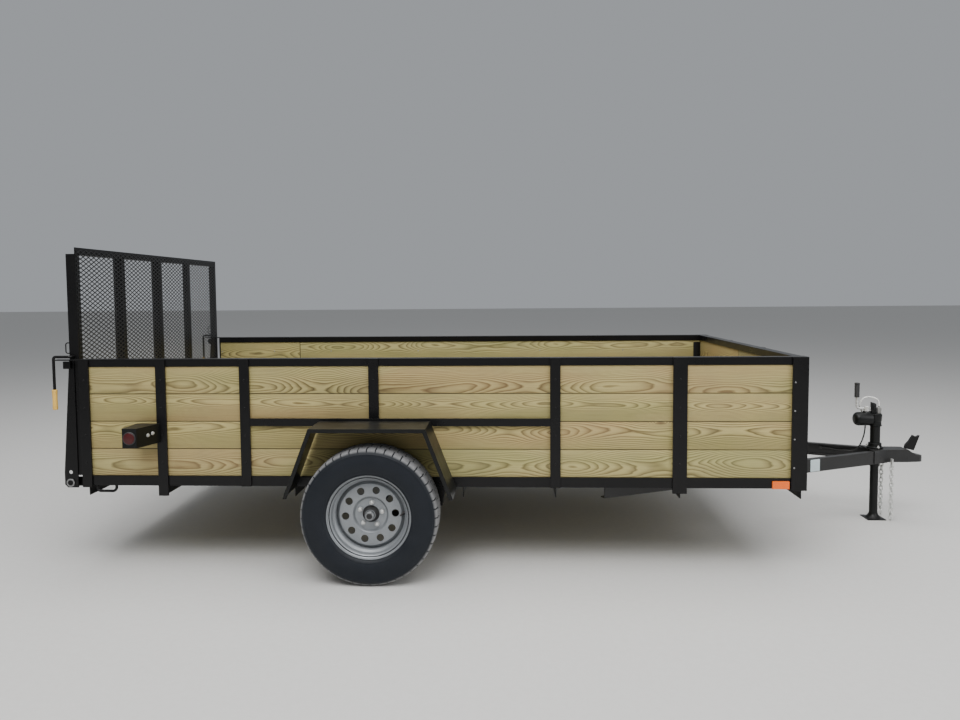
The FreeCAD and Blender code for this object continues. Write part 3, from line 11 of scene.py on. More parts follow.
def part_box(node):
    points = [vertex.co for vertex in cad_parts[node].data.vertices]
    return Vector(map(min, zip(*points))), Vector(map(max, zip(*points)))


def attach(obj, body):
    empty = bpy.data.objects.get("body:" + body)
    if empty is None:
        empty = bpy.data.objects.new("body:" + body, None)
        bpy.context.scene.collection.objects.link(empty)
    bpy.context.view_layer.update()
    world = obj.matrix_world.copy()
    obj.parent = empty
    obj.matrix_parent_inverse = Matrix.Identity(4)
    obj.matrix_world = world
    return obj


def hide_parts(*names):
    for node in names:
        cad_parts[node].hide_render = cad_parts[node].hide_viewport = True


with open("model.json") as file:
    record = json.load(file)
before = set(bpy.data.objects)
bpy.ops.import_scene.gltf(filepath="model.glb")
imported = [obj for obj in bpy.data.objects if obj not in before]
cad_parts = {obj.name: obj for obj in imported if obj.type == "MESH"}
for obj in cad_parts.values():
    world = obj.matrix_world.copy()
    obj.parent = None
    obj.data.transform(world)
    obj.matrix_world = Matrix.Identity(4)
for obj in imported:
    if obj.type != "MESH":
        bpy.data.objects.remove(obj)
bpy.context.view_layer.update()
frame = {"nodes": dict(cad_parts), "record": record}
nodes = frame["nodes"]

LEFT, RIGHT = 1, -1
SIDES = (("left", LEFT), ("right", RIGHT))
UP = Vector((0, 0, 1))


# Shader building

def place(tree, kind, sockets=None, **settings):
    """Adds a node, sets its properties, and sets or links its inputs."""
    node = tree.nodes.new(kind)
    for name, value in settings.items():
        setattr(node, name, value)
    for name, value in (sockets or {}).items():
        if isinstance(value, bpy.types.NodeSocket):
            tree.links.new(value, node.inputs[name])
        else:
            node.inputs[name].default_value = value
    return node


def maths(tree, operation, first, second=0.5):
    return place(tree, "ShaderNodeMath", {0: first, 1: second}, operation=operation).outputs[0]


def plus(tree, first, second):
    return maths(tree, "ADD", first, second)


def times(tree, first, second):
    return maths(tree, "MULTIPLY", first, second)


def scaled(colour, factor):
    return tuple(min(1.0, part * factor) for part in colour)


def blend_colours(tree, share, first, second, mode="MIX"):
    node = place(tree, "ShaderNodeMix", data_type="RGBA", blend_type=mode)
    for number, value in ((0, share), (6, first), (7, second)):
        if isinstance(value, bpy.types.NodeSocket):
            tree.links.new(value, node.inputs[number])
        elif number == 0:
            node.inputs[0].default_value = value
        else:
            node.inputs[number].default_value = (*value, 1.0)
    return node.outputs[2]


def ramp(tree, value, stops):
    """A colour ramp from (position, grey or colour) stops."""
    node = place(tree, "ShaderNodeValToRGB", {0: value})
    points = node.color_ramp.elements
    while len(points) < len(stops):
        points.new(0.5)
    for point, (position, colour) in zip(points, stops):
        point.position = position
        point.color = (*colour, 1.0) if hasattr(colour, "__len__") else (colour, colour, colour, 1.0)
    return node.outputs[0]


def noise(tree, vector, scale, detail=2.0, roughness=0.5):
    values = {"Vector": vector, "Scale": scale, "Detail": detail, "Roughness": roughness}
    return place(tree, "ShaderNodeTexNoise", values).outputs[0]


def stretched(tree, vector, scale):
    return place(tree, "ShaderNodeMapping", {"Vector": vector, "Scale": scale}).outputs[0]


def new_group(name, inputs, outputs):
    """A shader node group with named sockets, as (tree, its inputs, its output node)."""
    tree = bpy.data.node_groups.new(name, "ShaderNodeTree")
    for label, kind, value in inputs:
        socket = tree.interface.new_socket(label, in_out="INPUT", socket_type=kind)
        if value is not None:
            socket.default_value = value
    for label, kind in outputs:
        tree.interface.new_socket(label, in_out="OUTPUT", socket_type=kind)
    enter = tree.nodes.new("NodeGroupInput")
    leave = tree.nodes.new("NodeGroupOutput")
    return tree, enter.outputs, leave


def use_group(tree, group, **sockets):
    node = tree.nodes.new("ShaderNodeGroup")
    node.node_tree = group
    for name, value in sockets.items():
        label = name.replace("_", " ")
        if isinstance(value, bpy.types.NodeSocket):
            tree.links.new(value, node.inputs[label])
        else:
            node.inputs[label].default_value = value
    return node.outputs


def new_material(name, **skin):
    """A material with a Principled surface, as (material, tree, surface node)."""
    material = bpy.data.materials.new(name)
    material.use_nodes = True
    tree = material.node_tree
    tree.nodes.clear()
    surface = place(tree, "ShaderNodeBsdfPrincipled")
    out = place(tree, "ShaderNodeOutputMaterial")
    tree.links.new(surface.outputs[0], out.inputs[0])
    for label, value in skin.items():
        surface.inputs[label.replace("_", " ")].default_value = value
    return material, tree, surface


def feed(tree, surface, label, value):
    tree.links.new(value, surface.inputs[label])


def bump(tree, surface, height, strength, distance):
    node = place(tree, "ShaderNodeBump", {"Strength": strength, "Distance": distance, "Height": height})
    tree.links.new(node.outputs[0], surface.inputs["Normal"])


def object_place(tree):
    return place(tree, "ShaderNodeTexCoord").outputs["Object"]


# Shared effects

def dust_and_sky_sheen_group():
    """Pale dust that settles on what faces up and splashes on what hangs low; on what faces up it is
    also a painted sky sheen.
    """
    tree, enter, leave = new_group(
        "road dust and painted sky sheen",
        [("Place", "NodeSocketVector", None), ("Amount", "NodeSocketFloat", 0.3)],
        [("Mask", "NodeSocketFloat")],
    )
    normal = place(tree, "ShaderNodeNewGeometry").outputs["Normal"]
    facing = place(tree, "ShaderNodeSeparateXYZ", {0: normal})
    height = place(tree, "ShaderNodeSeparateXYZ", {0: enter["Place"]}).outputs[2]
    # Faces that look up get more: dust, and a painted sky sheen on tops.
    upward = maths(tree, "MAXIMUM", facing.outputs[2], 0.0)
    low = maths(tree, "SUBTRACT", 1.0, times(tree, height, 1.6))
    low = maths(tree, "MAXIMUM", low, 0.0)
    cover = plus(tree, times(tree, upward, 1.5), times(tree, low, 0.5))
    cover = plus(tree, cover, 0.06)
    patches = ramp(tree, noise(tree, enter["Place"], 9.0, 5.0, 0.65), [(0.35, 0.0), (0.75, 1.0)])
    specks = ramp(tree, noise(tree, enter["Place"], 260.0, 2.0), [(0.5, 0.35), (0.7, 1.0)])
    mask = times(tree, times(tree, cover, patches), specks)
    mask = times(tree, mask, enter["Amount"])
    tree.links.new(maths(tree, "MINIMUM", mask, 1.0), leave.inputs["Mask"])
    return tree


def paint_film_group():
    """Slight ripple and uneven gloss of sprayed paint."""
    tree, enter, leave = new_group(
        "paint film",
        [("Place", "NodeSocketVector", None), ("Gloss", "NodeSocketFloat", 0.3)],
        [("Roughness", "NodeSocketFloat"), ("Height", "NodeSocketFloat")],
    )
    ripple = noise(tree, enter["Place"], 420.0, 2.0, 0.4)
    sweep = noise(tree, enter["Place"], 7.0, 3.0, 0.6)
    uneven = times(tree, maths(tree, "SUBTRACT", sweep, 0.5), 0.22)
    rough = plus(tree, enter["Gloss"], uneven)
    tree.links.new(rough, leave.inputs["Roughness"])
    tree.links.new(plus(tree, ripple, times(tree, sweep, 0.6)), leave.inputs["Height"])
    return tree


def pine_grain_group():
    """Growth rings of a plain-sawn pine board, from a place in its log: along, across and deep."""
    tree, enter, leave = new_group(
        "pine grain",
        [("Place", "NodeSocketVector", None), ("Ring", "NodeSocketFloat", 0.0042)],
        [("Color", "NodeSocketColor"), ("Late wood", "NodeSocketFloat"), ("Height", "NodeSocketFloat")],
    )
    where = enter["Place"]
    slow = noise(tree, stretched(tree, where, (1.5, 3.2, 3.2)), 1.0, 1.0, 0.45)
    slow = maths(tree, "SUBTRACT", slow, 0.5)
    quick = noise(tree, stretched(tree, where, (5.0, 22.0, 22.0)), 1.0)
    quick = maths(tree, "SUBTRACT", quick, 0.5)
    axes = place(tree, "ShaderNodeSeparateXYZ", {0: where}).outputs
    squares = plus(tree, times(tree, axes[1], axes[1]), times(tree, axes[2], axes[2]))
    radius = maths(tree, "SQRT", squares)
    radius = plus(tree, radius, times(tree, slow, 0.11))
    radius = plus(tree, radius, times(tree, quick, 0.006))
    knot_cells = place(tree, "ShaderNodeTexVoronoi", {
        "Vector": stretched(tree, where, (1.4, 5.0, 5.0)), "Scale": 1.0, "Randomness": 1.0})
    knot = ramp(tree, knot_cells.outputs["Distance"], [(0.05, 1.0), (0.1, 0.35), (0.26, 0.0)])
    radius = plus(tree, radius, times(tree, knot, 0.02))
    rings = maths(tree, "FRACT", maths(tree, "DIVIDE", radius, enter["Ring"]))
    late = ramp(tree, rings, [
        (0.0, 0.0), (0.35, 0.1), (0.68, 0.6), (0.84, 1.0), (0.95, 0.4), (1.0, 0.0)])
    fibre = noise(tree, stretched(tree, where, (14.0, 900.0, 900.0)), 1.0, 3.0, 0.6)
    patch = noise(tree, stretched(tree, where, (1.1, 5.0, 5.0)), 1.0, 2.0, 0.5)
    early = ramp(tree, patch, [
        (0.36, (0.4, 0.36, 0.16)), (0.5, (0.49, 0.415, 0.195)), (0.66, (0.465, 0.36, 0.175))])
    dark = ramp(tree, patch, [
        (0.36, (0.07, 0.058, 0.018)), (0.5, (0.085, 0.055, 0.02)), (0.66, (0.115, 0.052, 0.024))])
    strength = times(tree, late, ramp(tree, slow, [(0.0, 0.8), (0.2, 1.0)]))
    wood = blend_colours(tree, strength, early, dark)
    wood = blend_colours(tree, times(tree, fibre, 0.14), wood, (0.5, 0.44, 0.22))
    streak = noise(tree, stretched(tree, where, (3.0, 210.0, 210.0)), 1.0, 3.0, 0.7)
    wood = blend_colours(tree, ramp(tree, streak, [(0.5, 0.0), (0.8, 0.5)]), wood, (0.17, 0.13, 0.055))
    core = ramp(tree, knot_cells.outputs["Distance"], [(0.035, 0.85), (0.06, 0.0)])
    wood = blend_colours(tree, core, wood, (0.1, 0.055, 0.025))
    tree.links.new(wood, leave.inputs["Color"])
    tree.links.new(late, leave.inputs["Late wood"])
    lift = plus(tree, times(tree, late, 0.5), times(tree, fibre, 0.6))
    tree.links.new(lift, leave.inputs["Height"])
    return tree


DUST_AND_SKY_SHEEN = dust_and_sky_sheen_group()
PAINT_FILM = paint_film_group()
PINE_GRAIN = pine_grain_group()


# Finishes

def cover_with_dust_and_sky_sheen(tree, surface, where, amount, base, dust):
    """Colours a surface with a base under dust and a painted sky sheen on what faces up, and returns
    their mask.
    """
    mask = use_group(tree, DUST_AND_SKY_SHEEN, Place=where, Amount=amount)["Mask"]
    feed(tree, surface, "Base Color", blend_colours(tree, mask, base, dust))
    return mask


def painted(name, colour, gloss, dust=0.3, metallic=0.0, flake=0.0, sheen=0.32):
    """Sprayed paint with dust on it, and a painted sky sheen where it faces up."""
    material, tree, surface = new_material(name, Metallic=metallic, Specular_IOR_Level=sheen)
    where = object_place(tree)
    film = use_group(tree, PAINT_FILM, Place=where, Gloss=gloss)
    tone = noise(tree, where, 3.0)
    base = blend_colours(tree, tone, scaled(colour, 0.8), scaled(colour, 1.2))
    if flake:
        sparkle = ramp(tree, noise(tree, where, 2400.0, 0.0), [(0.5, 0.0), (0.8, flake)])
        base = blend_colours(tree, sparkle, base, (0.9, 0.9, 0.9))
    # The pale cover is dust, and on faces that look up also a painted sky sheen.
    mask = cover_with_dust_and_sky_sheen(tree, surface, where, dust, base, (0.17, 0.16, 0.145))
    rough = plus(tree, film["Roughness"], times(tree, mask, 0.5))
    feed(tree, surface, "Roughness", rough)
    bump(tree, surface, film["Height"], 0.12, 0.0004)
    return material


def lumber_finish(name, dirt):
    """Treated pine boards. Dirt greys them, as on a deck."""
    material, tree, surface = new_material(name, Specular_IOR_Level=0.3)
    where = place(tree, "ShaderNodeAttribute", attribute_name="log_place").outputs["Vector"]
    mood = place(tree, "ShaderNodeAttribute", attribute_name="board_tone").outputs["Fac"]
    grain = use_group(tree, PINE_GRAIN, Place=where)
    tint = ramp(tree, mood, [
        (0.0, (0.84, 0.9, 0.82)), (0.5, (1.0, 1.0, 0.9)), (1.0, (1.0, 0.93, 0.79))])
    wood = blend_colours(tree, 1.0, grain["Color"], tint, "MULTIPLY")
    spot = noise(tree, object_place(tree), 5.0, 5.0, 0.7)
    grime = times(tree, ramp(tree, spot, [(0.4, 0.0), (0.75, 1.0)]), dirt)
    wood = blend_colours(tree, grime, wood, (0.2, 0.175, 0.12))
    seam = place(tree, "ShaderNodeAttribute", attribute_name="seam_shade").outputs["Fac"]
    seam = times(tree, seam, 0.85)
    feed(tree, surface, "Base Color", blend_colours(tree, seam, wood, (0.045, 0.035, 0.016)))
    rough = plus(tree, 0.62, times(tree, grain["Late wood"], 0.14))
    feed(tree, surface, "Roughness", rough)
    bump(tree, surface, grain["Height"], 0.35, 0.0012)
    return material


def rubber_finish(name, colour, rough):
    material, tree, surface = new_material(name)
    where = object_place(tree)
    scuff = noise(tree, where, 14.0, 6.0, 0.7)
    base = blend_colours(tree, scuff, colour, scaled(colour, 1.9))
    cover_with_dust_and_sky_sheen(tree, surface, where, 0.5, base, (0.3, 0.28, 0.25))
    feed(tree, surface, "Roughness", plus(tree, rough - 0.1, times(tree, scuff, 0.22)))
    bump(tree, surface, noise(tree, where, 900.0, 3.0, 0.6), 0.2, 0.0005)
    return material


def tread_finish(name):
    """Tyre rubber whose running face is worn pale."""
    material, tree, surface = new_material(name, Specular_IOR_Level=0.22)
    where = object_place(tree)
    worn = place(tree, "ShaderNodeAttribute", attribute_name="tread_face").outputs["Fac"]
    scuff = noise(tree, where, 14.0, 6.0, 0.7)
    # The sidewall's black is tinted blue: a painted sky sheen.
    side = blend_colours(tree, scuff, (0.0065, 0.0085, 0.0125), (0.0125, 0.0155, 0.021))
    rub = noise(tree, where, 60.0, 5.0, 0.7)
    face = blend_colours(tree, rub, (0.12, 0.12, 0.125), (0.32, 0.32, 0.32))
    base = blend_colours(tree, worn, side, face)
    cover_with_dust_and_sky_sheen(tree, surface, where, 0.12, base, (0.2, 0.19, 0.17))
    rough = plus(tree, times(tree, worn, 0.3), times(tree, scuff, 0.25))
    feed(tree, surface, "Roughness", plus(tree, rough, 0.36))
    bump(tree, surface, noise(tree, where, 700.0, 3.0, 0.6), 0.2, 0.0005)
    return material


def bare_metal(name, colour, rough, spangle=18.0, metallic=1.0):
    """Plated or cast metal with a mottled crystal pattern."""
    material, tree, surface = new_material(name, Metallic=metallic)
    where = object_place(tree)
    cells = place(tree, "ShaderNodeTexVoronoi", {"Vector": where, "Scale": spangle}).outputs["Color"]
    crystal = place(tree, "ShaderNodeSeparateColor", {0: cells}).outputs[0]
    base = blend_colours(tree, crystal, scaled(colour, 0.72), colour)
    cover_with_dust_and_sky_sheen(tree, surface, where, 0.35, base, (0.3, 0.29, 0.26))
    uneven = times(tree, noise(tree, where, 90.0, 4.0, 0.6), 0.25)
    feed(tree, surface, "Roughness", plus(tree, uneven, rough - 0.12))
    bump(tree, surface, noise(tree, where, 500.0, 3.0, 0.6), 0.15, 0.0004)
    return material


def lens_finish(name, colour, deep):
    """Moulded lens: small prisms under a smooth skin."""
    material, tree, surface = new_material(
        name, Roughness=0.38, Coat_Weight=0.12, Coat_Roughness=0.2, IOR=1.45)
    where = object_place(tree)
    prisms = place(tree, "ShaderNodeTexVoronoi", {"Vector": where, "Scale": 260.0}, feature="SMOOTH_F1")
    facets = ramp(tree, prisms.outputs["Distance"], [(0.0, 1.0), (0.7, 0.0)])
    feed(tree, surface, "Base Color", blend_colours(tree, facets, deep, colour))
    bump(tree, surface, facets, 0.25, 0.001)
    return material


def moulded_plastic(name, colour, rough, dust=0.3):
    material, tree, surface = new_material(name)
    where = object_place(tree)
    base = blend_colours(tree, noise(tree, where, 25.0, 4.0), scaled(colour, 0.85), colour)
    mask = cover_with_dust_and_sky_sheen(tree, surface, where, dust, base, (0.32, 0.3, 0.26))
    feed(tree, surface, "Roughness", plus(tree, rough, times(tree, mask, 0.3)))
    bump(tree, surface, noise(tree, where, 1100.0, 2.0), 0.15, 0.0003)
    return material


def sleeved_cord(name, bare, sleeve, sleeve_top):
    """A pale jacket above a height, and a ribbed black sleeve below it."""
    material, tree, surface = new_material(name, Roughness=0.5)
    where = object_place(tree)
    height = place(tree, "ShaderNodeSeparateXYZ", {0: where}).outputs[2]
    rise = times(tree, maths(tree, "SUBTRACT", height, sleeve_top), 100.0)
    above = ramp(tree, plus(tree, rise, 0.5), [(0.4, 0.0), (0.6, 1.0)])
    jacket = blend_colours(tree, noise(tree, where, 60.0, 3.0), scaled(bare, 0.8), bare)
    feed(tree, surface, "Base Color", blend_colours(tree, above, sleeve, jacket))
    bump(tree, surface, noise(tree, where, 700.0, 2.0), 0.2, 0.0003)
    return material


BLACK_PAINT = painted("semi-gloss black paint", (0.0048, 0.0046, 0.0048), 0.3, 0.1, sheen=0.24)
# Mesh paint is lighter than the other black paint and carries more pale cover: painted glints on the
# strands.
MESH_PAINT_WITH_PAINTED_GLINTS = painted("black mesh paint lightened as painted glints", (0.009, 0.009, 0.0095), 0.36, 0.14, sheen=0.5)
JACK_PAINT = painted("black jack paint", (0.0055, 0.0062, 0.006), 0.34, 0.08, sheen=0.24)
WALL_PINE = lumber_finish("treated pine of the walls", 0.18)
DECK_PINE = lumber_finish("treated pine of the deck", 0.6)
TYRE_RUBBER = tread_finish("tyre rubber")
SOFT_RUBBER = rubber_finish("moulded rubber", (0.014, 0.014, 0.015), 0.55)
WHEEL_SILVER = painted("silver wheel paint", (0.215, 0.23, 0.245), 0.36, 0.12, 0.4, 0.3, 0.45)
# Fender and light box paint: more pale cover on what faces up, partly dust and partly a painted sky
# sheen.
FENDER_PAINT_WITH_SKY_SHEEN = painted("black fender paint with dust and painted sky sheen", (0.005, 0.0054, 0.0052), 0.34, 0.18, sheen=0.24)
# Tongue paint is lighter than the other black paint and carries more pale cover: a painted reflection on
# the tongue's faces.
TONGUE_PAINT_WITH_PAINTED_REFLECTION = painted("black tongue paint lightened as painted reflection", (0.0125, 0.0125, 0.0128), 0.34, 0.25, sheen=0.4)
ZINC = bare_metal("zinc plating", (0.74, 0.74, 0.72), 0.34, 90.0, 0.55)
GALVANISED = bare_metal("galvanised chain", (0.82, 0.83, 0.8), 0.4, 140.0, 0.6)
WORN_STEEL = bare_metal("paint worn to steel", (0.3, 0.3, 0.3), 0.4, 200.0, 0.6)
# The cast hub's black is painted shade, for the gap between the wheel's bore and the hub's nose.
HUB_BLACK_AS_PAINTED_SHADE = bare_metal("cast hub blackened as painted shade", (0.02, 0.02, 0.021), 0.6, 60.0, 0.2)
HUB_IRON = bare_metal("cast hub", (0.36, 0.37, 0.38), 0.46, 60.0)
RED_LENS = lens_finish("red lens", (0.085, 0.0022, 0.003), (0.03, 0.001, 0.0014))
AMBER_LENS = lens_finish("amber reflector", (1.0, 0.2, 0.012), (0.9, 0.12, 0.006))
YELLOW_GRIP = moulded_plastic("yellow grip", (0.88, 0.53, 0.1), 0.42, 0.12)
BLACK_PLASTIC = moulded_plastic("black plastic", (0.018, 0.018, 0.018), 0.45)
CORD_JACKET = sleeved_cord("grey cord in a black sleeve", (0.84, 0.84, 0.8), (0.012, 0.012, 0.012), 0.62)
PLUG_GREY = moulded_plastic("grey plug", (0.2, 0.2, 0.19), 0.5)
BLACK_BORE = moulded_plastic("black dust plug", (0.006, 0.006, 0.007), 0.35)
LABEL_FILM = moulded_plastic("blank label film", (0.62, 0.72, 0.74), 0.38)

FINISH_OF_SLOT = {
    "black_paint": BLACK_PAINT, "treated_wood": WALL_PINE, "zinc": ZINC, "jack_metal": JACK_PAINT,
    "black_plastic": BLACK_PLASTIC, "chain_plate": ZINC, "red_lens": RED_LENS,
    "amber_lens": AMBER_LENS, "yellow_grip": YELLOW_GRIP, "tyre_rubber": TYRE_RUBBER,
    "wheel_silver": WHEEL_SILVER, "hub_iron": HUB_IRON, "cord_grey": CORD_JACKET,
    "plug_grey": PLUG_GREY,
}
WELD_GAP = 0.00002
FINE_GAP = 0.000005
SOFT_EDGE = 0.0011


def dress_cad_nodes():
    """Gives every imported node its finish, and softens the edges of painted bars and plates."""
    slot_of = {row["node"]: row["material_slot"] for row in frame["record"]["subparts"]}
    for name, node in nodes.items():
        finish = FINISH_OF_SLOT[slot_of[name]]
        # Fenders and light boxes take the paint with a painted sky sheen on their tops.
        if name.startswith(("fender", "light")):
            finish = FENDER_PAINT_WITH_SKY_SHEEN
        # The tongue and coupler take black paint lightened as a painted reflection.
        if name in ("tongue_rails", "coupler"):
            finish = TONGUE_PAINT_WITH_PAINTED_REFLECTION
        node.data.materials.clear()
        node.data.materials.append(finish)
        if finish in (BLACK_PAINT, FENDER_PAINT_WITH_SKY_SHEEN, TONGUE_PAINT_WITH_PAINTED_REFLECTION):
            weld = node.modifiers.new("joined faces", "WELD")
            weld.merge_threshold = WELD_GAP
            soften = node.modifiers.new("soft edges", "BEVEL")
            soften.width = SOFT_EDGE
            soften.segments = 2
            soften.limit_method = "ANGLE"
            soften.angle_limit = math.radians(35)
            soften.harden_normals = False


# Mesh building

def middle_of(name):
    low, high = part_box(name)
    return (low + high) / 2


def verts_in(geom):
    return [part for part in geom if isinstance(part, bmesh.types.BMVert)]


def edges_in(geom):
    return [part for part in geom if isinstance(part, bmesh.types.BMEdge)]


def edges_of(verts):
    return list({edge for vert in verts for edge in vert.link_edges})


def bevelled(bm, edges, offset, segments=2):
    return bmesh.ops.bevel(
        bm, geom=edges, offset=offset, segments=segments, profile=0.5, affect="EDGES",
        material=-1)["verts"]


def turned_to(facing):
    """The turn that takes a form standing upright to one that faces along facing."""
    return UP.rotation_difference(Vector(facing).normalized()).to_matrix().to_4x4()


def solids_of(name):
    """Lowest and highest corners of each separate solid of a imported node."""
    bm = bmesh.new()
    bm.from_mesh(nodes[name].data)
    bmesh.ops.remove_doubles(bm, verts=bm.verts, dist=WELD_GAP)
    waiting = set(bm.verts)
    found = []
    while waiting:
        group = [waiting.pop()]
        for vert in group:
            for edge in vert.link_edges:
                other = edge.other_vert(vert)
                if other in waiting:
                    waiting.remove(other)
                    group.append(other)
        low = Vector([min(v.co[axis] for v in group) for axis in range(3)])
        high = Vector([max(v.co[axis] for v in group) for axis in range(3)])
        found.append((low, high))
    bm.free()
    return sorted(found, key=lambda corners: tuple(round(c, 4) for c in corners[0]))


def finished(bm, name, material, body, stands_for=(), smooth=None):
    """Turns a bmesh into a piece that rides on a body."""
    mesh = bpy.data.meshes.new(name)
    bm.to_mesh(mesh)
    bm.free()
    piece = bpy.data.objects.new(name, mesh)
    bpy.context.scene.collection.objects.link(piece)
    mesh.materials.append(material)
    if smooth is not None:
        mesh.shade_smooth()
        mesh.set_sharp_from_angle(angle=math.radians(smooth))
    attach(piece, body)
    if stands_for:
        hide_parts(*stands_for)
    return piece


def add_box(bm, low, high, rounding, segments=2):
    """A box between two corners, with rounded edges. Returns its vertices."""
    low, high = Vector(low), Vector(high)
    matrix = Matrix.Translation((low + high) / 2) @ Matrix.Diagonal((*(high - low), 1.0))
    made = bmesh.ops.create_cube(bm, size=1.0, matrix=matrix)["verts"]
    return bevelled(bm, edges_of(made), rounding, segments)


def add_disc_stack(bm, seat, facing, rings, steps=16, hollow=False):
    """A turned form that stands on seat and faces along facing, from (height, radius) rings."""
    turn = turned_to(facing)
    matrix = Matrix.Translation(Vector(seat)) @ turn
    line = [bm.verts.new(matrix @ Vector((radius, 0, height))) for height, radius in rings]
    if not hollow:
        line.insert(0, bm.verts.new(matrix @ Vector((0, 0, rings[0][0]))))
        line.append(bm.verts.new(matrix @ Vector((0, 0, rings[-1][0]))))
    edges = [bm.edges.new(pair) for pair in zip(line, line[1:])]
    if hollow:
        edges.append(bm.edges.new((line[-1], line[0])))
    bmesh.ops.spin(
        bm, geom=line + edges, cent=Vector(seat), axis=(turn @ UP).normalized(),
        angle=2 * math.pi, steps=steps, use_merge=True)


def close_up(bm, gap=WELD_GAP):
    bmesh.ops.remove_doubles(bm, verts=bm.verts, dist=gap)
    bmesh.ops.recalc_face_normals(bm, faces=bm.faces)


# Boards

EASED_EDGE = 0.0032
FACE_DEPTH = 0.0001
JOINT_GAP = 0.0006
LEFT_WALL_JOINT = -1.6663
FRONT_WALL_JOINT = -0.009


def boards_of(node, joint):
    """Corners of a wall's boards, with the top one parted at its joint, if it has one."""
    rows = solids_of(node)
    top = max(high.z for low, high in rows)
    for low, high in rows:
        if joint is None or high.z < top - 0.001:
            yield low, high
            continue
        axis = 0 if high.x - low.x > high.y - low.y else 1
        for start, end in ((low[axis], joint - JOINT_GAP), (joint + JOINT_GAP, high[axis])):
            piece_low, piece_high = low.copy(), high.copy()
            piece_low[axis], piece_high[axis] = start, end
            yield piece_low, piece_high


def lumber(name, node, finish, seed, joint=None):
    """Boards with eased edges in the place of a node's plain ones, each from its own log."""
    chance = random.Random(seed)
    bm = bmesh.new()
    log_place = bm.verts.layers.float_vector.new("log_place")
    board_tone = bm.verts.layers.float.new("board_tone")
    seam_shade = bm.verts.layers.float.new("seam_shade")
    for low, high in boards_of(node, joint):
        size = high - low
        order = sorted(range(3), key=lambda axis: -size[axis])
        heart = Vector((
            chance.uniform(0, 40), chance.uniform(-0.05, 0.05), chance.uniform(0.05, 0.13)))
        drift = chance.uniform(-0.012, 0.012)
        tone = chance.random()
        for vert in add_box(bm, low, high, EASED_EDGE):
            away = vert.co - (low + high) / 2
            along, across, deep = (away[axis] for axis in order)
            vert[log_place] = Vector((along, across + along * drift, deep)) + heart
            vert[board_tone] = tone
            on_face = abs(deep) > size[order[2]] / 2 - FACE_DEPTH
            vert[seam_shade] = 0.0 if on_face else 1.0
    return finished(bm, name, finish, "chassis", [node], 30)


def boards():
    lumber("left_wall_boards", "side_boards_left", WALL_PINE, 3, LEFT_WALL_JOINT)
    lumber("right_wall_boards", "side_boards_right", WALL_PINE, 11)
    lumber("front_wall_boards", "front_boards", WALL_PINE, 23, FRONT_WALL_JOINT)
    lumber("deck_planks", "deck_boards", DECK_PINE, 37)


# Ramp gate mesh

MESH_WIDTH = 0.051
MESH_HEIGHT = 0.0232
MESH_STRAND = 0.005
MESH_THICKNESS = 0.0016
MESH_SETBACK = 0.0008
MESH_CUT = 0.011


def ramp_mesh():
    """Expanded steel mesh: a sheared grid of diamonds, opened up and cut to the gate's frame."""
    low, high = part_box("gate_mesh")
    middle = (low + high) / 2
    reach_y, reach_z = (high.y - low.y) / 2, (high.z - low.z) / 2
    count = int(2 * reach_y / MESH_WIDTH + 2 * reach_z / MESH_HEIGHT) + 4
    bm = bmesh.new()
    bmesh.ops.create_grid(bm, x_segments=count, y_segments=count, size=count / 2)
    bmesh.ops.transform(bm, verts=bm.verts, matrix=Matrix((
        (0, 0, 0, middle.x - MESH_SETBACK),
        (MESH_WIDTH / 2, MESH_WIDTH / 2, 0, middle.y),
        (MESH_HEIGHT / 2, -MESH_HEIGHT / 2, 0, middle.z),
        (0, 0, 0, 1),
    )))
    far = [face for face in bm.faces
           if abs(face.calc_center_median().y - middle.y) > reach_y + MESH_WIDTH
           or abs(face.calc_center_median().z - middle.z) > reach_z + MESH_HEIGHT]
    bmesh.ops.delete(bm, geom=far, context="FACES")
    rims = set(bmesh.ops.inset_individual(
        bm, faces=bm.faces[:], thickness=MESH_STRAND / 2, use_even_offset=True)["faces"])
    bmesh.ops.delete(bm, geom=[face for face in bm.faces if face not in rims], context="FACES_ONLY")
    for axis, sign, reach in ((1, 1, reach_y), (1, -1, reach_y), (2, 1, reach_z), (2, -1, reach_z)):
        normal = Vector((0, 0, 0))
        normal[axis] = sign
        bmesh.ops.bisect_plane(
            bm, geom=bm.verts[:] + bm.edges[:] + bm.faces[:],
            plane_co=middle + normal * (reach - MESH_CUT), plane_no=normal, clear_outer=True)
    bmesh.ops.recalc_face_normals(bm, faces=bm.faces)
    bmesh.ops.solidify(bm, geom=bm.faces[:], thickness=MESH_THICKNESS)
    return finished(bm, "ramp_mesh", MESH_PAINT_WITH_PAINTED_GLINTS, "gate", ["gate_mesh"])


# Wheels

def lathe(bm, centre, profile, steps, closed=True):
    """A ring turned about the axle from (outward, radius) points."""
    line = [bm.verts.new(centre + Vector((0, y, r))) for y, r in profile]
    pairs = list(zip(line, line[1:]))
    if closed:
        pairs.append((line[-1], line[0]))
    edges = [bm.edges.new(pair) for pair in pairs]
    bmesh.ops.spin(
        bm, geom=line + edges, cent=centre, axis=(0, 1, 0), angle=2 * math.pi, steps=steps,
        use_merge=True)


def handed(bm, centre, side):
    """Turns a wheel part that faces +Y to the outside of its own side."""
    if side == RIGHT:
        bmesh.ops.scale(bm, vec=(1, -1, 1), space=Matrix.Translation(-centre), verts=bm.verts)
        bmesh.ops.reverse_faces(bm, faces=bm.faces)


PITCHES = 48
PITCH_STEPS = 7
SIPE_LAG = 90
BEAD = 0.2075
GROOVE = 0.0075
SIPE = 0.0042
WORN_DEPTH = 0.0095
RIB_DROP = 0.0035
SHOULDER_DROP = 0.016
MIDDLE_GROOVE = 0.0035
MIDDLE_RIBS = 0.036
SHOULDER_START = 0.066
TREAD_HALF = 0.07


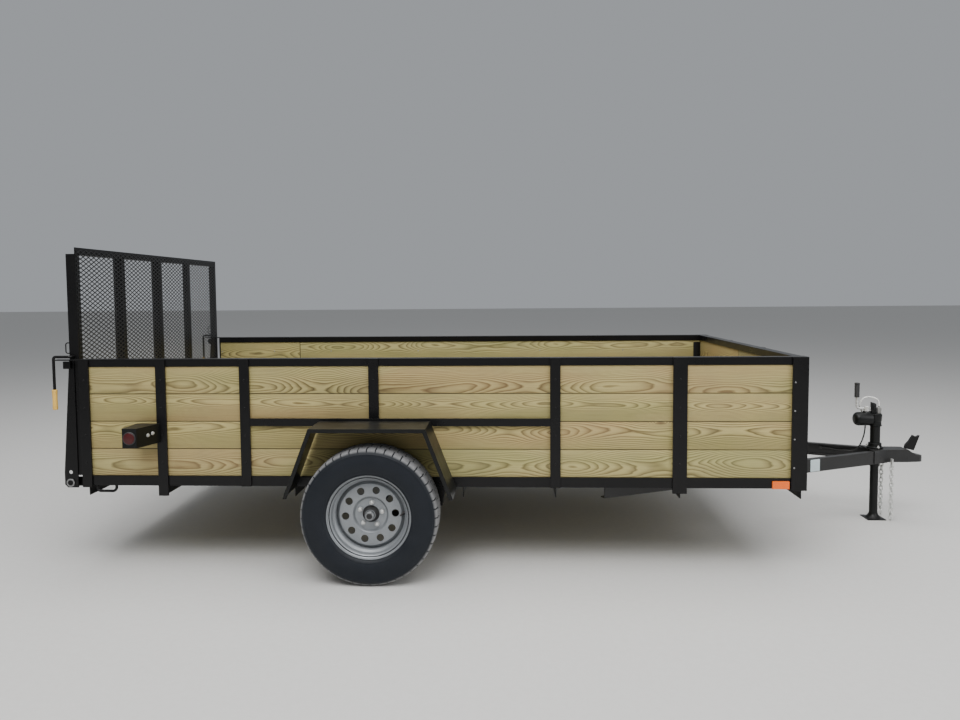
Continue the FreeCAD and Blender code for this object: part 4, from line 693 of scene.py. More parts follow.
def tyre(name, side):
    """Trailer tyre with four grooves, cross sipes and plain sidewalls."""
    low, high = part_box("tyre_" + name)
    centre = (low + high) / 2
    crown = (high.z - low.z) / 2
    half = (high.y - low.y) / 2
    sidewall = [
        (0.0735, 0.1912), (0.0735, BEAD), (0.087, BEAD), (0.0925, BEAD + 0.006),
        (0.0955, BEAD + 0.0135), (0.0948, BEAD + 0.0155), (0.0972, BEAD + 0.022),
        (half - 0.0022, BEAD + 0.034), (half - 0.0003, BEAD + 0.05), (half, BEAD + 0.062),
        (half - 0.0014, BEAD + 0.075), (half - 0.0035, crown - 0.04), (half - 0.0062, crown - 0.03),
        (half - 0.0052, crown - 0.0265), (half - 0.0092, crown - 0.018),
        (half - 0.0165, crown - 0.0085), (half - 0.0235, crown - 0.0046),
    ]
    half_tread = [(0.067, crown - 0.0026), (0.0655, crown - 0.002), (0.038, crown - 0.0008)]
    grooves = [
        (0.0375, crown - GROOVE), (0.0325, crown - GROOVE), (0.032, crown - 0.0006), (0.003, crown),
        (0.0025, crown - GROOVE),
    ]
    left_half = sidewall + half_tread + grooves
    profile = left_half + [(-y, r) for y, r in reversed(left_half)]
    bm = bmesh.new()
    lathe(bm, centre, profile, PITCHES * PITCH_STEPS)
    close_up(bm)
    tread_face = bm.verts.layers.float.new("tread_face")
    for vert in bm.verts:
        away = vert.co - centre
        worn = crown - math.hypot(away.x, away.z) < WORN_DEPTH
        vert[tread_face] = 1.0 if worn else 0.0
    cuts = []
    for face in bm.faces:
        spot = face.calc_center_median() - centre
        drop = crown - math.hypot(spot.x, spot.z)
        out = abs(spot.y)
        step = math.floor(math.atan2(spot.z, spot.x) / (2 * math.pi) * PITCHES * PITCH_STEPS)
        lag = round(out * SIPE_LAG) if out < MIDDLE_RIBS else 0
        on_rib = drop < RIB_DROP and MIDDLE_GROOVE < out < TREAD_HALF
        on_shoulder = RIB_DROP <= drop < SHOULDER_DROP and out > SHOULDER_START
        if (on_rib or on_shoulder) and (step + lag) % PITCH_STEPS == 0:
            cuts.append(face)
    deep = bmesh.ops.extrude_face_region(bm, geom=cuts)["geom"]
    bmesh.ops.delete(bm, geom=cuts, context="FACES_ONLY")
    for vert in verts_in(deep):
        away = vert.co - centre
        away.y = 0.0
        vert.co -= away.normalized() * SIPE
        vert[tread_face] = 0.0
    handed(bm, centre, side)
    bmesh.ops.recalc_face_normals(bm, faces=bm.faces)
    return finished(
        bm, "treaded_tyre_" + name, TYRE_RUBBER, name + "_wheel", ["tyre_" + name], 35)


VALVE_RING = 0.1625
VALVE_OUT = 0.012
VALVE_ANGLE = math.radians(2.0)
VALVE_LEAN = 0.25


def valve_stem(name, side):
    """Rubber valve stem with its cap, through the rim beside the disc."""
    centre = middle_of("wheel_" + name)
    away = Vector((math.cos(VALVE_ANGLE), 0.0, math.sin(VALVE_ANGLE)))
    out = Vector((0.0, side, 0.0))
    bm = bmesh.new()
    add_disc_stack(bm, centre + away * VALVE_RING + out * VALVE_OUT, out - away * VALVE_LEAN, [
        (0.0, 0.0085), (0.008, 0.0085), (0.014, 0.0055), (0.03, 0.0045), (0.031, 0.0052),
        (0.044, 0.0048), (0.046, 0.003)], 14)
    close_up(bm)
    return finished(
        bm, "valve_stem_" + name, SOFT_RUBBER, name + "_wheel", (), 40)


def wheels():
    for name, side in SIDES:
        tyre(name, side)
        valve_stem(name, side)


# Turned and bent metal

def bent_bar(bm, points, radius, bend, sides=12, closed=False):
    """A round bar along straight runs, turned at each corner. Closed ones start mid-run."""
    path = [Vector(point) for point in points]
    verts = bmesh.ops.create_circle(
        bm, cap_ends=not closed, segments=sides, radius=radius,
        matrix=Matrix.Translation(path[0]) @ turned_to(path[1] - path[0]))["verts"]
    edges = edges_of(verts)
    spot = path[0]
    for here, after in zip(path[1:], path[2:] + [None]):
        go = here - spot
        heading = go.normalized()
        angle = 0.0
        if after is not None:
            onward = (after - here).normalized()
            angle = heading.angle(onward)
            go -= heading * bend * math.tan(angle / 2)
        moved = bmesh.ops.extrude_edge_only(bm, edges=edges)["geom"]
        verts = verts_in(moved)
        edges = [edge for edge in edges_in(moved) if all(vert in verts for vert in edge.verts)]
        bmesh.ops.translate(bm, verts=verts, vec=go)
        spot = spot + go
        if angle > 0.01:
            axis = heading.cross(onward).normalized()
            centre = spot + axis.cross(heading) * bend
            last = bmesh.ops.spin(
                bm, geom=verts + edges, cent=centre, axis=axis, angle=angle,
                steps=max(2, round(angle / 0.26)))["geom_last"]
            verts = verts_in(last)
            edges = edges_in(last)
            spot = spot + (heading + onward) * bend * math.tan(angle / 2)
    if not closed:
        bmesh.ops.contextual_create(bm, geom=edges)


def add_hex(bm, seat, facing, half, height, chamfer=0.0008):
    """A hexagonal nut or bolt head that stands on seat. Half is from its middle to a flat."""
    middle = Vector(seat) + Vector(facing).normalized() * height / 2
    matrix = Matrix.Translation(middle) @ turned_to(facing)
    corner = half / math.cos(math.pi / 6)
    verts = bmesh.ops.create_cone(
        bm, cap_ends=True, segments=6, radius1=corner, radius2=corner, depth=height,
        matrix=matrix)["verts"]
    bevelled(bm, edges_of(verts), chamfer)


def millimetres(rings):
    return [(first / 1000, second / 1000) for first, second in rings]


# Wheels' metal

WHEEL_STEPS = 120
HOLE_COUNT = 10
HOLE_START = math.radians(4.0)
HOLE_RING = 0.123
HOLE_RADIUS = 0.0185
DISC_THICKNESS = 0.0055
CROWN_OUT = 0.0258
BARREL = millimetres([
    (82.5, 205.4), (82.0, 206.6), (80.6, 207.0), (75.0, 207.0), (73.5, 206.2), (73.5, 192.5),
    (72.0, 190.5), (58.0, 190.5), (48.0, 190.2), (42.0, 180.0), (36.0, 174.0), (-2.0, 174.0),
    (-10.0, 184.0), (-16.0, 190.5), (-72.0, 190.5), (-73.5, 192.0), (-73.5, 206.2), (-75.0, 207.0),
    (-80.6, 207.0), (-82.0, 206.6), (-82.5, 205.4), (-81.5, 203.6), (-77.5, 202.5), (-76.0, 189.0),
    (-70.0, 186.0), (-18.0, 186.0), (-13.0, 180.0), (-4.0, 169.5), (33.0, 169.5), (38.0, 172.5),
    (44.0, 181.5), (47.0, 183.2), (50.0, 183.6), (55.0, 182.6), (59.0, 183.6), (66.0, 185.2),
    (70.0, 187.6), (72.0, 191.0), (73.5, 196.0), (76.5, 199.4), (79.5, 200.6), (81.6, 202.2)])
DISC_MIDDLE = millimetres([
    (9.8, 42.0), (9.8, 73.5), (10.6, 77.5), (15.0, 81.5), (21.5, 85.5), (25.0, 89.0), (25.8, 92.0)])
DISC_EDGE = millimetres([
    (25.8, 150.0), (25.0, 153.0), (20.0, 156.5), (12.0, 163.0), (7.5, 168.5), (4.0, 170.3)])


def steel_wheel(name, side):
    """Rim with rolled flanges and stepped seats, and a pressed disc with a ring of round holes."""
    centre = middle_of("wheel_" + name)
    bm = bmesh.new()
    for line in (DISC_MIDDLE, DISC_EDGE):
        lathe(bm, centre, line, WHEEL_STEPS, closed=False)
    close_up(bm)
    rims = [edge for edge in bm.edges if edge.is_boundary
            and all(abs(vert.co.y - centre.y - CROWN_OUT) < 0.0001 for vert in edge.verts)]
    upright = Matrix.Rotation(math.pi / 2, 4, "X")
    for number in range(HOLE_COUNT):
        angle = HOLE_START + number * 2 * math.pi / HOLE_COUNT
        spot = centre + Vector((math.cos(angle) * HOLE_RING, CROWN_OUT, math.sin(angle) * HOLE_RING))
        rims += edges_of(bmesh.ops.create_circle(
            bm, cap_ends=False, segments=28, radius=HOLE_RADIUS,
            matrix=Matrix.Translation(spot) @ upright)["verts"])
    bmesh.ops.triangle_fill(bm, use_beauty=True, edges=rims, normal=(0, 1, 0))
    close_up(bm)
    inward = min(bm.faces, key=lambda face: (face.calc_center_median() - centre).xz.length)
    if inward.normal.y < 0:
        bmesh.ops.reverse_faces(bm, faces=bm.faces)
    bmesh.ops.solidify(bm, geom=bm.faces[:], thickness=DISC_THICKNESS)
    lathe(bm, centre, BARREL, WHEEL_STEPS)
    handed(bm, centre, side)
    bmesh.ops.recalc_face_normals(bm, faces=bm.faces)
    return finished(
        bm, "steel_wheel_" + name, WHEEL_SILVER, name + "_wheel", ["wheel_" + name], 32)


HUB_TURNING = millimetres([
    (-70.0, 0.1), (-70.0, 36.0), (-67.0, 38.0), (-40.0, 40.0), (-8.3, 42.0), (-8.3, 70.0),
    (-6.5, 72.0), (2.0, 72.0), (3.7, 70.5), (3.7, 41.0), (8.0, 40.6), (9.0, 36.5), (30.0, 32.6),
    (33.0, 31.8), (34.0, 30.0), (34.0, 24.0)])
CAP_TURNING = millimetres([
    (33.9, 26.6), (35.2, 26.6), (35.8, 24.9), (49.0, 24.5), (54.0, 23.0), (57.0, 20.0),
    (57.6, 14.5), (57.6, 0.1)])
PLUG_OUT = 0.0572
PLUG_TURNING = millimetres([
    (0.0, 14.2), (2.4, 14.2), (3.2, 13.2), (3.2, 9.5), (1.6, 8.6), (1.4, 0.1)])
NUT_CONE = millimetres([(0.0, 11.8), (1.2, 11.6), (4.0, 9.6)])
NUT_FOOT = 0.002
NUT_TRIM = 0.006
NUT_FIT = 0.93
STUD_END = millimetres([(0.0, 8.4), (1.8, 7.4), (3.6, 5.2), (4.7, 2.2)])
STUD_LENGTH = 0.005


def hub(name, side):
    """Cast hub, coloured black as painted shade between the wheel's bore and the grease cap, and its
    pressed grease cap.
    """
    centre = middle_of("wheel_" + name)
    for piece, turning, finish, stands_for in (
            ("cast_hub_", HUB_TURNING, HUB_BLACK_AS_PAINTED_SHADE, ["hub_" + name]),
            ("grease_cap_", CAP_TURNING, HUB_IRON, ())):
        bm = bmesh.new()
        lathe(bm, centre, turning, 56, closed=False)
        close_up(bm)
        handed(bm, centre, side)
        finished(bm, piece + name, finish, name + "_wheel", stands_for, 32)


def dust_plug(name, side):
    """Black plug in the grease cap's end."""
    centre = middle_of("wheel_" + name)
    bm = bmesh.new()
    facing = Vector((0, side, 0))
    add_disc_stack(bm, centre + facing * PLUG_OUT, facing, PLUG_TURNING, 28)
    close_up(bm)
    return finished(bm, "dust_plug_" + name, BLACK_BORE, name + "_wheel", (), 32)


def wheel_nuts(name, side):
    """Five plated nuts on cone seats, with the studs' ends showing."""
    bm = bmesh.new()
    for low, high in solids_of("wheel_nuts_" + name):
        spot = (low + high) / 2
        tall = high.y - low.y
        seat = Vector((spot.x, low.y if side == LEFT else high.y, spot.z))
        facing = Vector((0, side, 0))
        half = min(high.x - low.x, high.z - low.z) / 2
        add_disc_stack(bm, seat, facing, NUT_CONE, 20)
        add_hex(bm, seat + facing * NUT_FOOT, facing, half * NUT_FIT, tall - NUT_TRIM, 0.0012)
        add_disc_stack(bm, seat + facing * (tall - STUD_LENGTH), facing, STUD_END, 20)
    close_up(bm, FINE_GAP)
    return finished(
        bm, "lug_nuts_" + name, ZINC, name + "_wheel", ["wheel_nuts_" + name], 32)


def running_gear():
    for name, side in SIDES:
        steel_wheel(name, side)
        hub(name, side)
        dust_plug(name, side)
        wheel_nuts(name, side)


# Tongue jack

def round_box(name):
    """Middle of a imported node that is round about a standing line, with its radius, foot and top."""
    low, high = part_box(name)
    return Vector(((low.x + high.x) / 2, (low.y + high.y) / 2, 0.0)), (high.y - low.y) / 2, low.z, high.z


JACK_BORE = 0.0249
JACK_BORE_TOP = 0.635
RAM_CLEARANCE = 0.0045
FLANGE_COLLAR = 0.009
FLANGE_BOLTS = 3
BOLT_START = math.radians(30)
BOLT_INSET = 0.0015
BOLT_SEAT = 0.0092
BOLT_WASHER = millimetres([(0.0, 8.8), (1.4, 8.8), (1.6, 8.2)])
BOLT_END = millimetres([(0.0, 4.0), (5.5, 4.0), (6.3, 3.2)])
HEAD_GAP = 0.0153
CASE_HEIGHT = 0.043
BOSS_HEIGHT = 0.06
LUG_LENGTH = 0.028
LUG_HALF = 0.012
LUG_SLOPE = 0.6
CRANK_OFFSET = 0.0525
CRANK_ROD = 0.007
CRANK_ROD_BEND = 0.016
CRANK_ROD_RISE = 0.0174
CRANK_HUB_HALF = 0.0185
CRANK_HUB_HEIGHT = 0.029
GRIP_BORE = 0.0072
GRIP_RIBS = 12
CASE_TURNING = millimetres([
    (26.5, 39.6), (43.0, 41.0), (60.0, 41.6), (102.0, 41.8), (112.0, 40.6), (119.0, 37.2),
    (124.0, 32.0), (128.0, 25.5), (130.0, 17.0), (130.4, 0.1)])


def jack_tubes(middle, radius, foot, top):
    """The fixed outer tube, and the leg with its pressed foot that slides in it."""
    bm = bmesh.new()
    add_disc_stack(bm, middle + UP * foot, UP, [
        (0.0, JACK_BORE), (0.0, radius - 0.0006), (0.0006, radius), (top - foot, radius),
        (top - foot, JACK_BORE)], 48, True)
    close_up(bm)
    finished(bm, "jack_outer_tube", JACK_PAINT, "chassis", ["jack_tube"], 32)

    low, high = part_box("jack_ram")
    tall = high.z - low.z
    ram = radius - RAM_CLEARANCE
    bm = bmesh.new()
    add_box(bm, low, Vector((high.x, high.y, low.z + 0.005)), 0.0012)
    add_disc_stack(bm, middle + UP * (low.z + 0.004), UP, [
        (0.0, 0.0455), (0.002, 0.0452), (0.006, 0.041), (0.014, 0.033), (0.024, 0.0272),
        (0.033, ram + 0.0006), (0.036, ram), (tall - 0.006, ram), (tall - 0.004, ram - 0.002)], 48)
    close_up(bm, FINE_GAP)
    finished(bm, "jack_leg_and_foot", JACK_PAINT, "jack_leg", ["jack_ram"], 32)


def jack_flange(tube_radius):
    """The round plate that holds the jack, with its collar and three bolts."""
    middle, radius, foot, top = round_box("jack_plate")
    tall = top - foot
    collar = tube_radius + FLANGE_COLLAR
    bm = bmesh.new()
    add_disc_stack(bm, middle + UP * foot, UP, [
        (0.0, radius - 0.001), (0.001, radius), (0.0085, radius), (0.0095, radius - 0.001),
        (0.0097, collar + 0.003), (0.0125, collar + 0.0005), (tall - 0.0015, collar),
        (tall, collar - 0.0015), (tall, tube_radius), (0.0, tube_radius)], 48, True)
    close_up(bm)
    finished(bm, "jack_flange", JACK_PAINT, "chassis", ["jack_plate"], 32)

    bm = bmesh.new()
    for number in range(FLANGE_BOLTS):
        angle = BOLT_START + number * 2 * math.pi / FLANGE_BOLTS
        spot = middle + Vector((math.cos(angle), math.sin(angle), 0)) * (radius - BOLT_INSET)
        spot.z = foot + BOLT_SEAT
        add_disc_stack(bm, spot, UP, BOLT_WASHER, 18)
        add_hex(bm, spot + UP * 0.0015, UP, 0.0066, 0.0062)
        add_disc_stack(bm, spot + UP * 0.007, UP, BOLT_END, 14)
    close_up(bm, FINE_GAP)
    finished(bm, "jack_flange_bolts", ZINC, "chassis", (), 32)


def jack_gear_case(middle, nut_x):
    """The cast head: its neck, the gear case across it, the crank's boss and the pinned lug."""
    low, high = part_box("jack_head")
    head_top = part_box("jack_crank")[0].z - HEAD_GAP
    tall = head_top - low.z
    boss = solids_of("jack_crank")[0][0].z - low.z - BOSS_HEIGHT
    collar = high.x - middle.x
    bm = bmesh.new()
    add_disc_stack(bm, middle + UP * low.z, UP, [
        (JACK_BORE_TOP - low.z, JACK_BORE), (0.0, JACK_BORE), (0.0, collar - 0.0015),
        (0.0015, collar), (0.006, collar), (0.008, collar - 0.003), (0.03, collar - 0.0035),
        (0.034, collar - 0.001), (0.07, collar), (tall - 0.002, collar - 0.0005),
        (tall, collar - 0.003), (tall, 0.001)], 48)
    add_disc_stack(bm, middle + UP * (low.z + CASE_HEIGHT), (-1, 0, 0), CASE_TURNING, 40)
    add_disc_stack(bm, Vector((nut_x, middle.y, low.z + BOSS_HEIGHT)), UP, [
        (0.0, 0.026), (0.02, 0.0255), (0.024, 0.0225), (boss - 0.0015, 0.0215),
        (boss - 0.0003, 0.0205)], 28)
    lug = add_box(
        bm, (middle.x - LUG_LENGTH, middle.y - LUG_HALF, head_top - 0.012),
        (middle.x, middle.y + LUG_HALF, high.z), 0.0025)
    slope_start = middle.x - 0.016
    for vert in lug:
        if vert.co.x > slope_start and vert.co.z > high.z - 0.02:
            vert.co.z -= (vert.co.x - slope_start) * LUG_SLOPE
    for side in (LEFT, RIGHT):
        seat = (middle.x - LUG_LENGTH / 2, middle.y + side * (LUG_HALF - 0.0005), head_top + 0.03)
        add_hex(bm, seat, (0, side, 0), 0.0075, 0.006)
    close_up(bm, FINE_GAP)
    finished(bm, "jack_gear_case", JACK_PAINT, "chassis", ["jack_head"], 32)


def jack_crank(nut_x):
    """The crank's hexagonal hub and bent rod, and its ribbed grip."""
    crank_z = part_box("jack_crank")[0].z
    middle, radius, foot, top = round_box("jack_grip")
    arm_z = crank_z + CRANK_ROD_RISE
    hub = Vector((nut_x, middle.y, crank_z))
    bm = bmesh.new()
    bent_bar(bm, [
        (nut_x, middle.y, arm_z), (middle.x, middle.y, arm_z), (middle.x, middle.y, foot + 0.01)],
        CRANK_ROD, CRANK_ROD_BEND, 14)
    add_hex(bm, hub, UP, CRANK_HUB_HALF, CRANK_HUB_HEIGHT, 0.002)
    add_disc_stack(bm, hub + UP * (CRANK_HUB_HEIGHT - 0.001), UP, millimetres([
        (0.0, 14.5), (2.5, 13.5), (4.5, 10.0), (5.0, 0.1)]), 24)
    close_up(bm, FINE_GAP)
    finished(bm, "jack_crank_arm", ZINC, "chassis", ["jack_crank"], 32)

    bm = bmesh.new()
    tall = top - foot
    rings = [(0.0, GRIP_BORE), (0.0, radius - 0.0015), (0.0015, radius)]
    for number in range(GRIP_RIBS):
        start = 0.006 + number * (tall - 0.014) / GRIP_RIBS
        rings += [(start, radius), (start + 0.0012, radius - 0.001),
                  (start + 0.003, radius - 0.001), (start + 0.0042, radius)]
    rings += [(tall - 0.003, radius), (tall - 0.0006, radius - 0.002), (tall, radius - 0.005),
              (tall, 0.0005)]
    add_disc_stack(bm, middle + UP * foot, UP, rings, 32)
    close_up(bm)
    finished(
        bm, "jack_grip_sleeve", BLACK_PLASTIC, "chassis", ["jack_grip"], 32)


def jack():
    middle, radius, foot, top = round_box("jack_tube")
    nut_x = middle.x - CRANK_OFFSET
    jack_tubes(middle, radius, foot, top)
    jack_flange(radius)
    jack_gear_case(middle, nut_x)
    jack_crank(nut_x)


# Chains, loops and latches

LINK_BEND = 0.92
HOOK_EYE = 0.028
TIE_LOOP_BAR = 0.007
TIE_LOOP_BEND = 0.02
GATE_LOOP_BEND = 0.011
LATCH_BAR = 0.0072
LATCH_BAR_INSET = 0.0065
LATCH_BEND = 0.012
HANDLE_INSET = 0.02


def link_path(low, high, wire):
    """Corners of an upright link's centre line, which starts and ends half way up one side."""
    middle = (low + high) / 2
    size = high - low
    wide = 0 if size.x > size.y else 1
    reach = size[wide] / 2 - wire
    rise = size.z / 2 - wire
    corners = []
    for across, upward in ((1, 0), (1, 1), (-1, 1), (-1, -1), (1, -1), (1, 0)):
        spot = middle.copy()
        spot[wide] += across * reach
        spot.z += upward * rise
        corners.append(spot)
    return corners, reach


def chain_hook(bm, low, high, wire, side):
    """An eye, and a bent hook from its foot whose open throat faces outwards."""
    middle = (low + high) / 2
    eye_low = Vector((low.x, middle.y - HOOK_EYE / 2, high.z - HOOK_EYE))
    eye_high = Vector((high.x, middle.y + HOOK_EYE / 2, high.z))
    corners, reach = link_path(eye_low, eye_high, wire)
    bent_bar(bm, corners, wire, reach * LINK_BEND, 12, closed=True)
    top = eye_low.z + wire
    foot = low.z + wire
    reach = (high.y - low.y) / 2 - wire
    tip = (top + foot) / 2
    path = [(reach * 0.5, top), (-reach, top), (-reach, foot), (reach, foot), (reach, tip)]
    bent_bar(bm, [(middle.x, middle.y + side * out, z) for out, z in path], wire, reach * LINK_BEND, 12)
    add_disc_stack(bm, Vector((middle.x, middle.y + side * reach, tip - wire * 0.1)), UP, [
        (0.0, wire), (wire * 0.5, wire * 0.9), (wire * 0.9, wire * 0.55), (wire, wire * 0.2)], 12)


def safety_chains():
    for name, side in SIDES:
        bm = bmesh.new()
        solids = solids_of("safety_chain_" + name)
        lowest = min(low.z for low, high in solids)
        for low, high in solids:
            size = high - low
            wire = min(size.x, size.y) / 2
            if low.z == lowest:
                chain_hook(bm, low, high, wire, side)
                continue
            corners, reach = link_path(low, high, wire)
            bent_bar(bm, corners, wire, reach * LINK_BEND, 10, closed=True)
        close_up(bm, FINE_GAP)
        finished(
            bm, "chain_links_" + name, GALVANISED, "chassis", ["safety_chain_" + name], 50)


def tie_and_gate_loops():
    bm = bmesh.new()
    for low, high in solids_of("tie_loops"):
        y = (low.y + high.y) / 2
        rear, front, foot = low.x + TIE_LOOP_BAR, high.x - TIE_LOOP_BAR, low.z + TIE_LOOP_BAR
        corners = [(rear, y, high.z), (rear, y, foot), (front, y, foot), (front, y, high.z)]
        bent_bar(bm, corners, TIE_LOOP_BAR, TIE_LOOP_BEND, 16)
    close_up(bm, FINE_GAP)
    finished(bm, "tie_down_loops", BLACK_PAINT, "chassis", ["tie_loops"], 40)
    bm = bmesh.new()
    for low, high in solids_of("gate_loops"):
        thick = (high.y - low.y) / 2
        y = (low.y + high.y) / 2
        rear, foot, top = low.x + thick, low.z + thick, high.z - thick
        corners = [(high.x, y, top), (rear, y, top), (rear, y, foot), (high.x, y, foot)]
        bent_bar(bm, corners, thick, GATE_LOOP_BEND, 14)
    close_up(bm, FINE_GAP)
    finished(bm, "gate_end_loops", BLACK_PAINT, "gate", ["gate_loops"], 40)


def latches():
    """The gate's latch bars, bent down at the posts, with yellow sleeves on their handles."""
    bm = bmesh.new()
    grips = sorted(solids_of("latch_grips"), key=lambda corners: corners[0].y)
    rods = sorted(solids_of("latch_rods"), key=lambda corners: corners[0].y)
    sleeves = bmesh.new()
    for (low, high), (grip_low, grip_high) in zip(rods, grips):
        outer_y = (grip_low.y + grip_high.y) / 2
        inner_y = low.y if abs(low.y) < abs(high.y) else high.y
        back_x = (grip_low.x + grip_high.x) / 2
        bar_z = high.z - LATCH_BAR_INSET
        front_x = high.x - LATCH_BAR_INSET
        bent_bar(bm, [
            (front_x, inner_y, bar_z), (front_x, outer_y, bar_z), (back_x, outer_y, bar_z),
            (back_x, outer_y, grip_high.z - HANDLE_INSET)], LATCH_BAR, LATCH_BEND, 16)
        wide = (grip_high.x - grip_low.x) / 2
        tall = grip_high.z - grip_low.z
        add_disc_stack(sleeves, Vector((back_x, outer_y, grip_low.z)), UP, [
            (0.0, 0.001), (0.0, wide - 0.004), (0.0012, wide - 0.0015), (0.004, wide),
            (tall * 0.3, wide - 0.0008), (tall * 0.5, wide - 0.0012), (tall * 0.8, wide - 0.0004),
            (tall - 0.008, wide), (tall - 0.004, wide + 0.001), (tall - 0.001, wide),
            (tall, wide - 0.0015), (tall, LATCH_BAR)], 32)
    close_up(bm, FINE_GAP)
    close_up(sleeves)
    finished(bm, "latch_bars", BLACK_PAINT, "gate", ["latch_rods"], 40)
    finished(sleeves, "latch_sleeves", YELLOW_GRIP, "gate", ["latch_grips"], 35)


# Lamps

LENS_DEPTH = 0.009


def lamps():
    """Round lamps: a rubber ring in the panel and a domed lens with a raised rim."""
    for node in ("side_lamps", "tail_lamps"):
        lenses = bmesh.new()
        rings = bmesh.new()
        for low, high in solids_of(node):
            seat = (low + high) / 2
            radius = (high.z - low.z) / 2
            if node == "tail_lamps":
                facing = Vector((-1, 0, 0))
                seat.x = low.x + LENS_DEPTH
            elif seat.y > 0:
                facing = Vector((0, 1, 0))
                seat.y = high.y - LENS_DEPTH
            else:
                facing = Vector((0, -1, 0))
                seat.y = low.y + LENS_DEPTH
            add_disc_stack(rings, seat, facing, [
                (-0.006, radius - 0.006), (0.0, radius - 0.004), (0.0, radius), (0.0026, radius),
                (0.004, radius - 0.0014), (0.004, radius - 0.0042), (0.0015, radius - 0.0046)], 40)
            add_disc_stack(lenses, seat, facing, [
                (-0.005, radius - 0.0062), (0.005, radius - 0.005), (0.0062, radius - 0.0066),
                (0.0066, radius - 0.009), (0.0076, radius * 0.55), (0.0084, radius * 0.3),
                (0.0088, 0.0006)], 40)
        close_up(lenses)
        close_up(rings)
        finished(lenses, node + "_lenses", RED_LENS, "chassis", [node], 40)
        finished(rings, node + "_rubber_rings", SOFT_RUBBER, "chassis", (), 35)


# Wiring harness

CORD_ROUTE = (
    (1.9131, 0.1702, 0.4050), (1.9512, 0.1525, 0.4050), (1.9894, 0.1303, 0.3970),
    (2.0210, 0.1057, 0.4010), (2.0695, 0.0660, 0.4040), (2.0915, 0.0440, 0.4400),
    (2.1115, 0.0420, 0.4900), (2.1245, 0.0470, 0.5420), (2.1275, 0.0500, 0.6000),
    (2.1015, 0.0440, 0.6550), (2.0695, 0.0140, 0.7050), (2.0815, 0.0040, 0.7420),
    (2.1095, -0.0020, 0.7570), (2.1425, -0.0060, 0.7530), (2.1685, -0.0080, 0.7420),
    (2.1795, -0.0080, 0.7220), (2.1795, -0.0080, 0.7000),
)
CORD_THICK = 0.008


def harness():
    """The plug, and the cord that hangs from the tongue and loops over the jack to it."""
    low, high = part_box("harness_plug")
    middle = (low + high) / 2
    bm = bmesh.new()
    neck = high.z - 0.01
    add_box(bm, (low.x, low.y, low.z), (high.x, high.y, neck), 0.003, 3)
    add_disc_stack(bm, Vector((middle.x, middle.y, neck - 0.001)), UP, millimetres([
        (0.0, 9.0), (2.0, 8.2), (4.0, 6.6), (8.0, 5.8), (11.0, 5.2), (11.0, 3.4)]), 20)
    close_up(bm, FINE_GAP)
    plug = finished(bm, "harness_plug_body", PLUG_GREY, "chassis", ["harness_plug"], 35)

    line = bpy.data.curves.new("harness_line", "CURVE")
    line.dimensions = "3D"
    line.bevel_depth = CORD_THICK / 2
    line.bevel_resolution = 5
    line.resolution_u = 10
    line.use_fill_caps = True
    spline = line.splines.new("NURBS")
    spline.points.add(len(CORD_ROUTE) - 1)
    for point, place_at in zip(spline.points, CORD_ROUTE):
        point.co = (*place_at, 1.0)
    spline.order_u = 3
    spline.use_endpoint_u = True
    line.materials.append(CORD_JACKET)
    cord = bpy.data.objects.new("wiring_harness", line)
    bpy.context.scene.collection.objects.link(cord)
    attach(cord, "chassis")
    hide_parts("harness_cord")
    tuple(CORD_ROUTE[0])


# Fasteners, corner strips and the blank label

POST_WIDTH = 0.12
POST_HEIGHT = 0.3
PAINTED_SCREW = 0.0055
BARE_SCREW = 0.0045
CORNER_SCREW_IN = 0.013
CORNER_SCREW_DOWN = 0.016
CORNER_CLEAR = 0.05
STRIP_THICKNESS = 0.003
STRIP_TOP_GAP = 0.014
RIM_TURNING = millimetres([
    (-1.0, 21.4), (0.8, 21.4), (1.6, 20.6), (1.6, 15.0), (0.4, 14.2), (-1.0, 14.2)])
PIN_TURNING = millimetres([(-1.0, 12.6), (0.6, 12.6), (1.4, 11.6), (1.4, 0.1)])
LIGHT_BOX_BOLTS = ((-1.895, 1.0647, 0.712), (-1.8855, 1.0339, 0.7166))
LIGHT_BOX_FACING = (0.956, 0.294)
HINGE_AXIS = (-2.3725, 0.439)
TONGUE_TIP_X = 2.2195
TONGUE_TIP_HALF = 0.0465
TONGUE_TAPER = 0.4648
LABEL_SPAN = (1.6585, 1.7225)
LABEL_THICKNESS = 0.0004


def bolt_head(bm, seat, facing, half, height):
    add_disc_stack(bm, seat, facing, [
        (0.0, half * 1.45), (0.0014, half * 1.45), (0.0018, half * 1.35)], 20)
    add_hex(bm, Vector(seat) + Vector(facing) * 0.0015, facing, half, height)


def round_head(bm, seat, facing, radius):
    add_disc_stack(bm, seat, facing, [
        (0.0, radius), (radius * 0.22, radius * 0.92), (radius * 0.4, radius * 0.7),
        (radius * 0.5, radius * 0.35), (radius * 0.52, 0.0004)], 16)


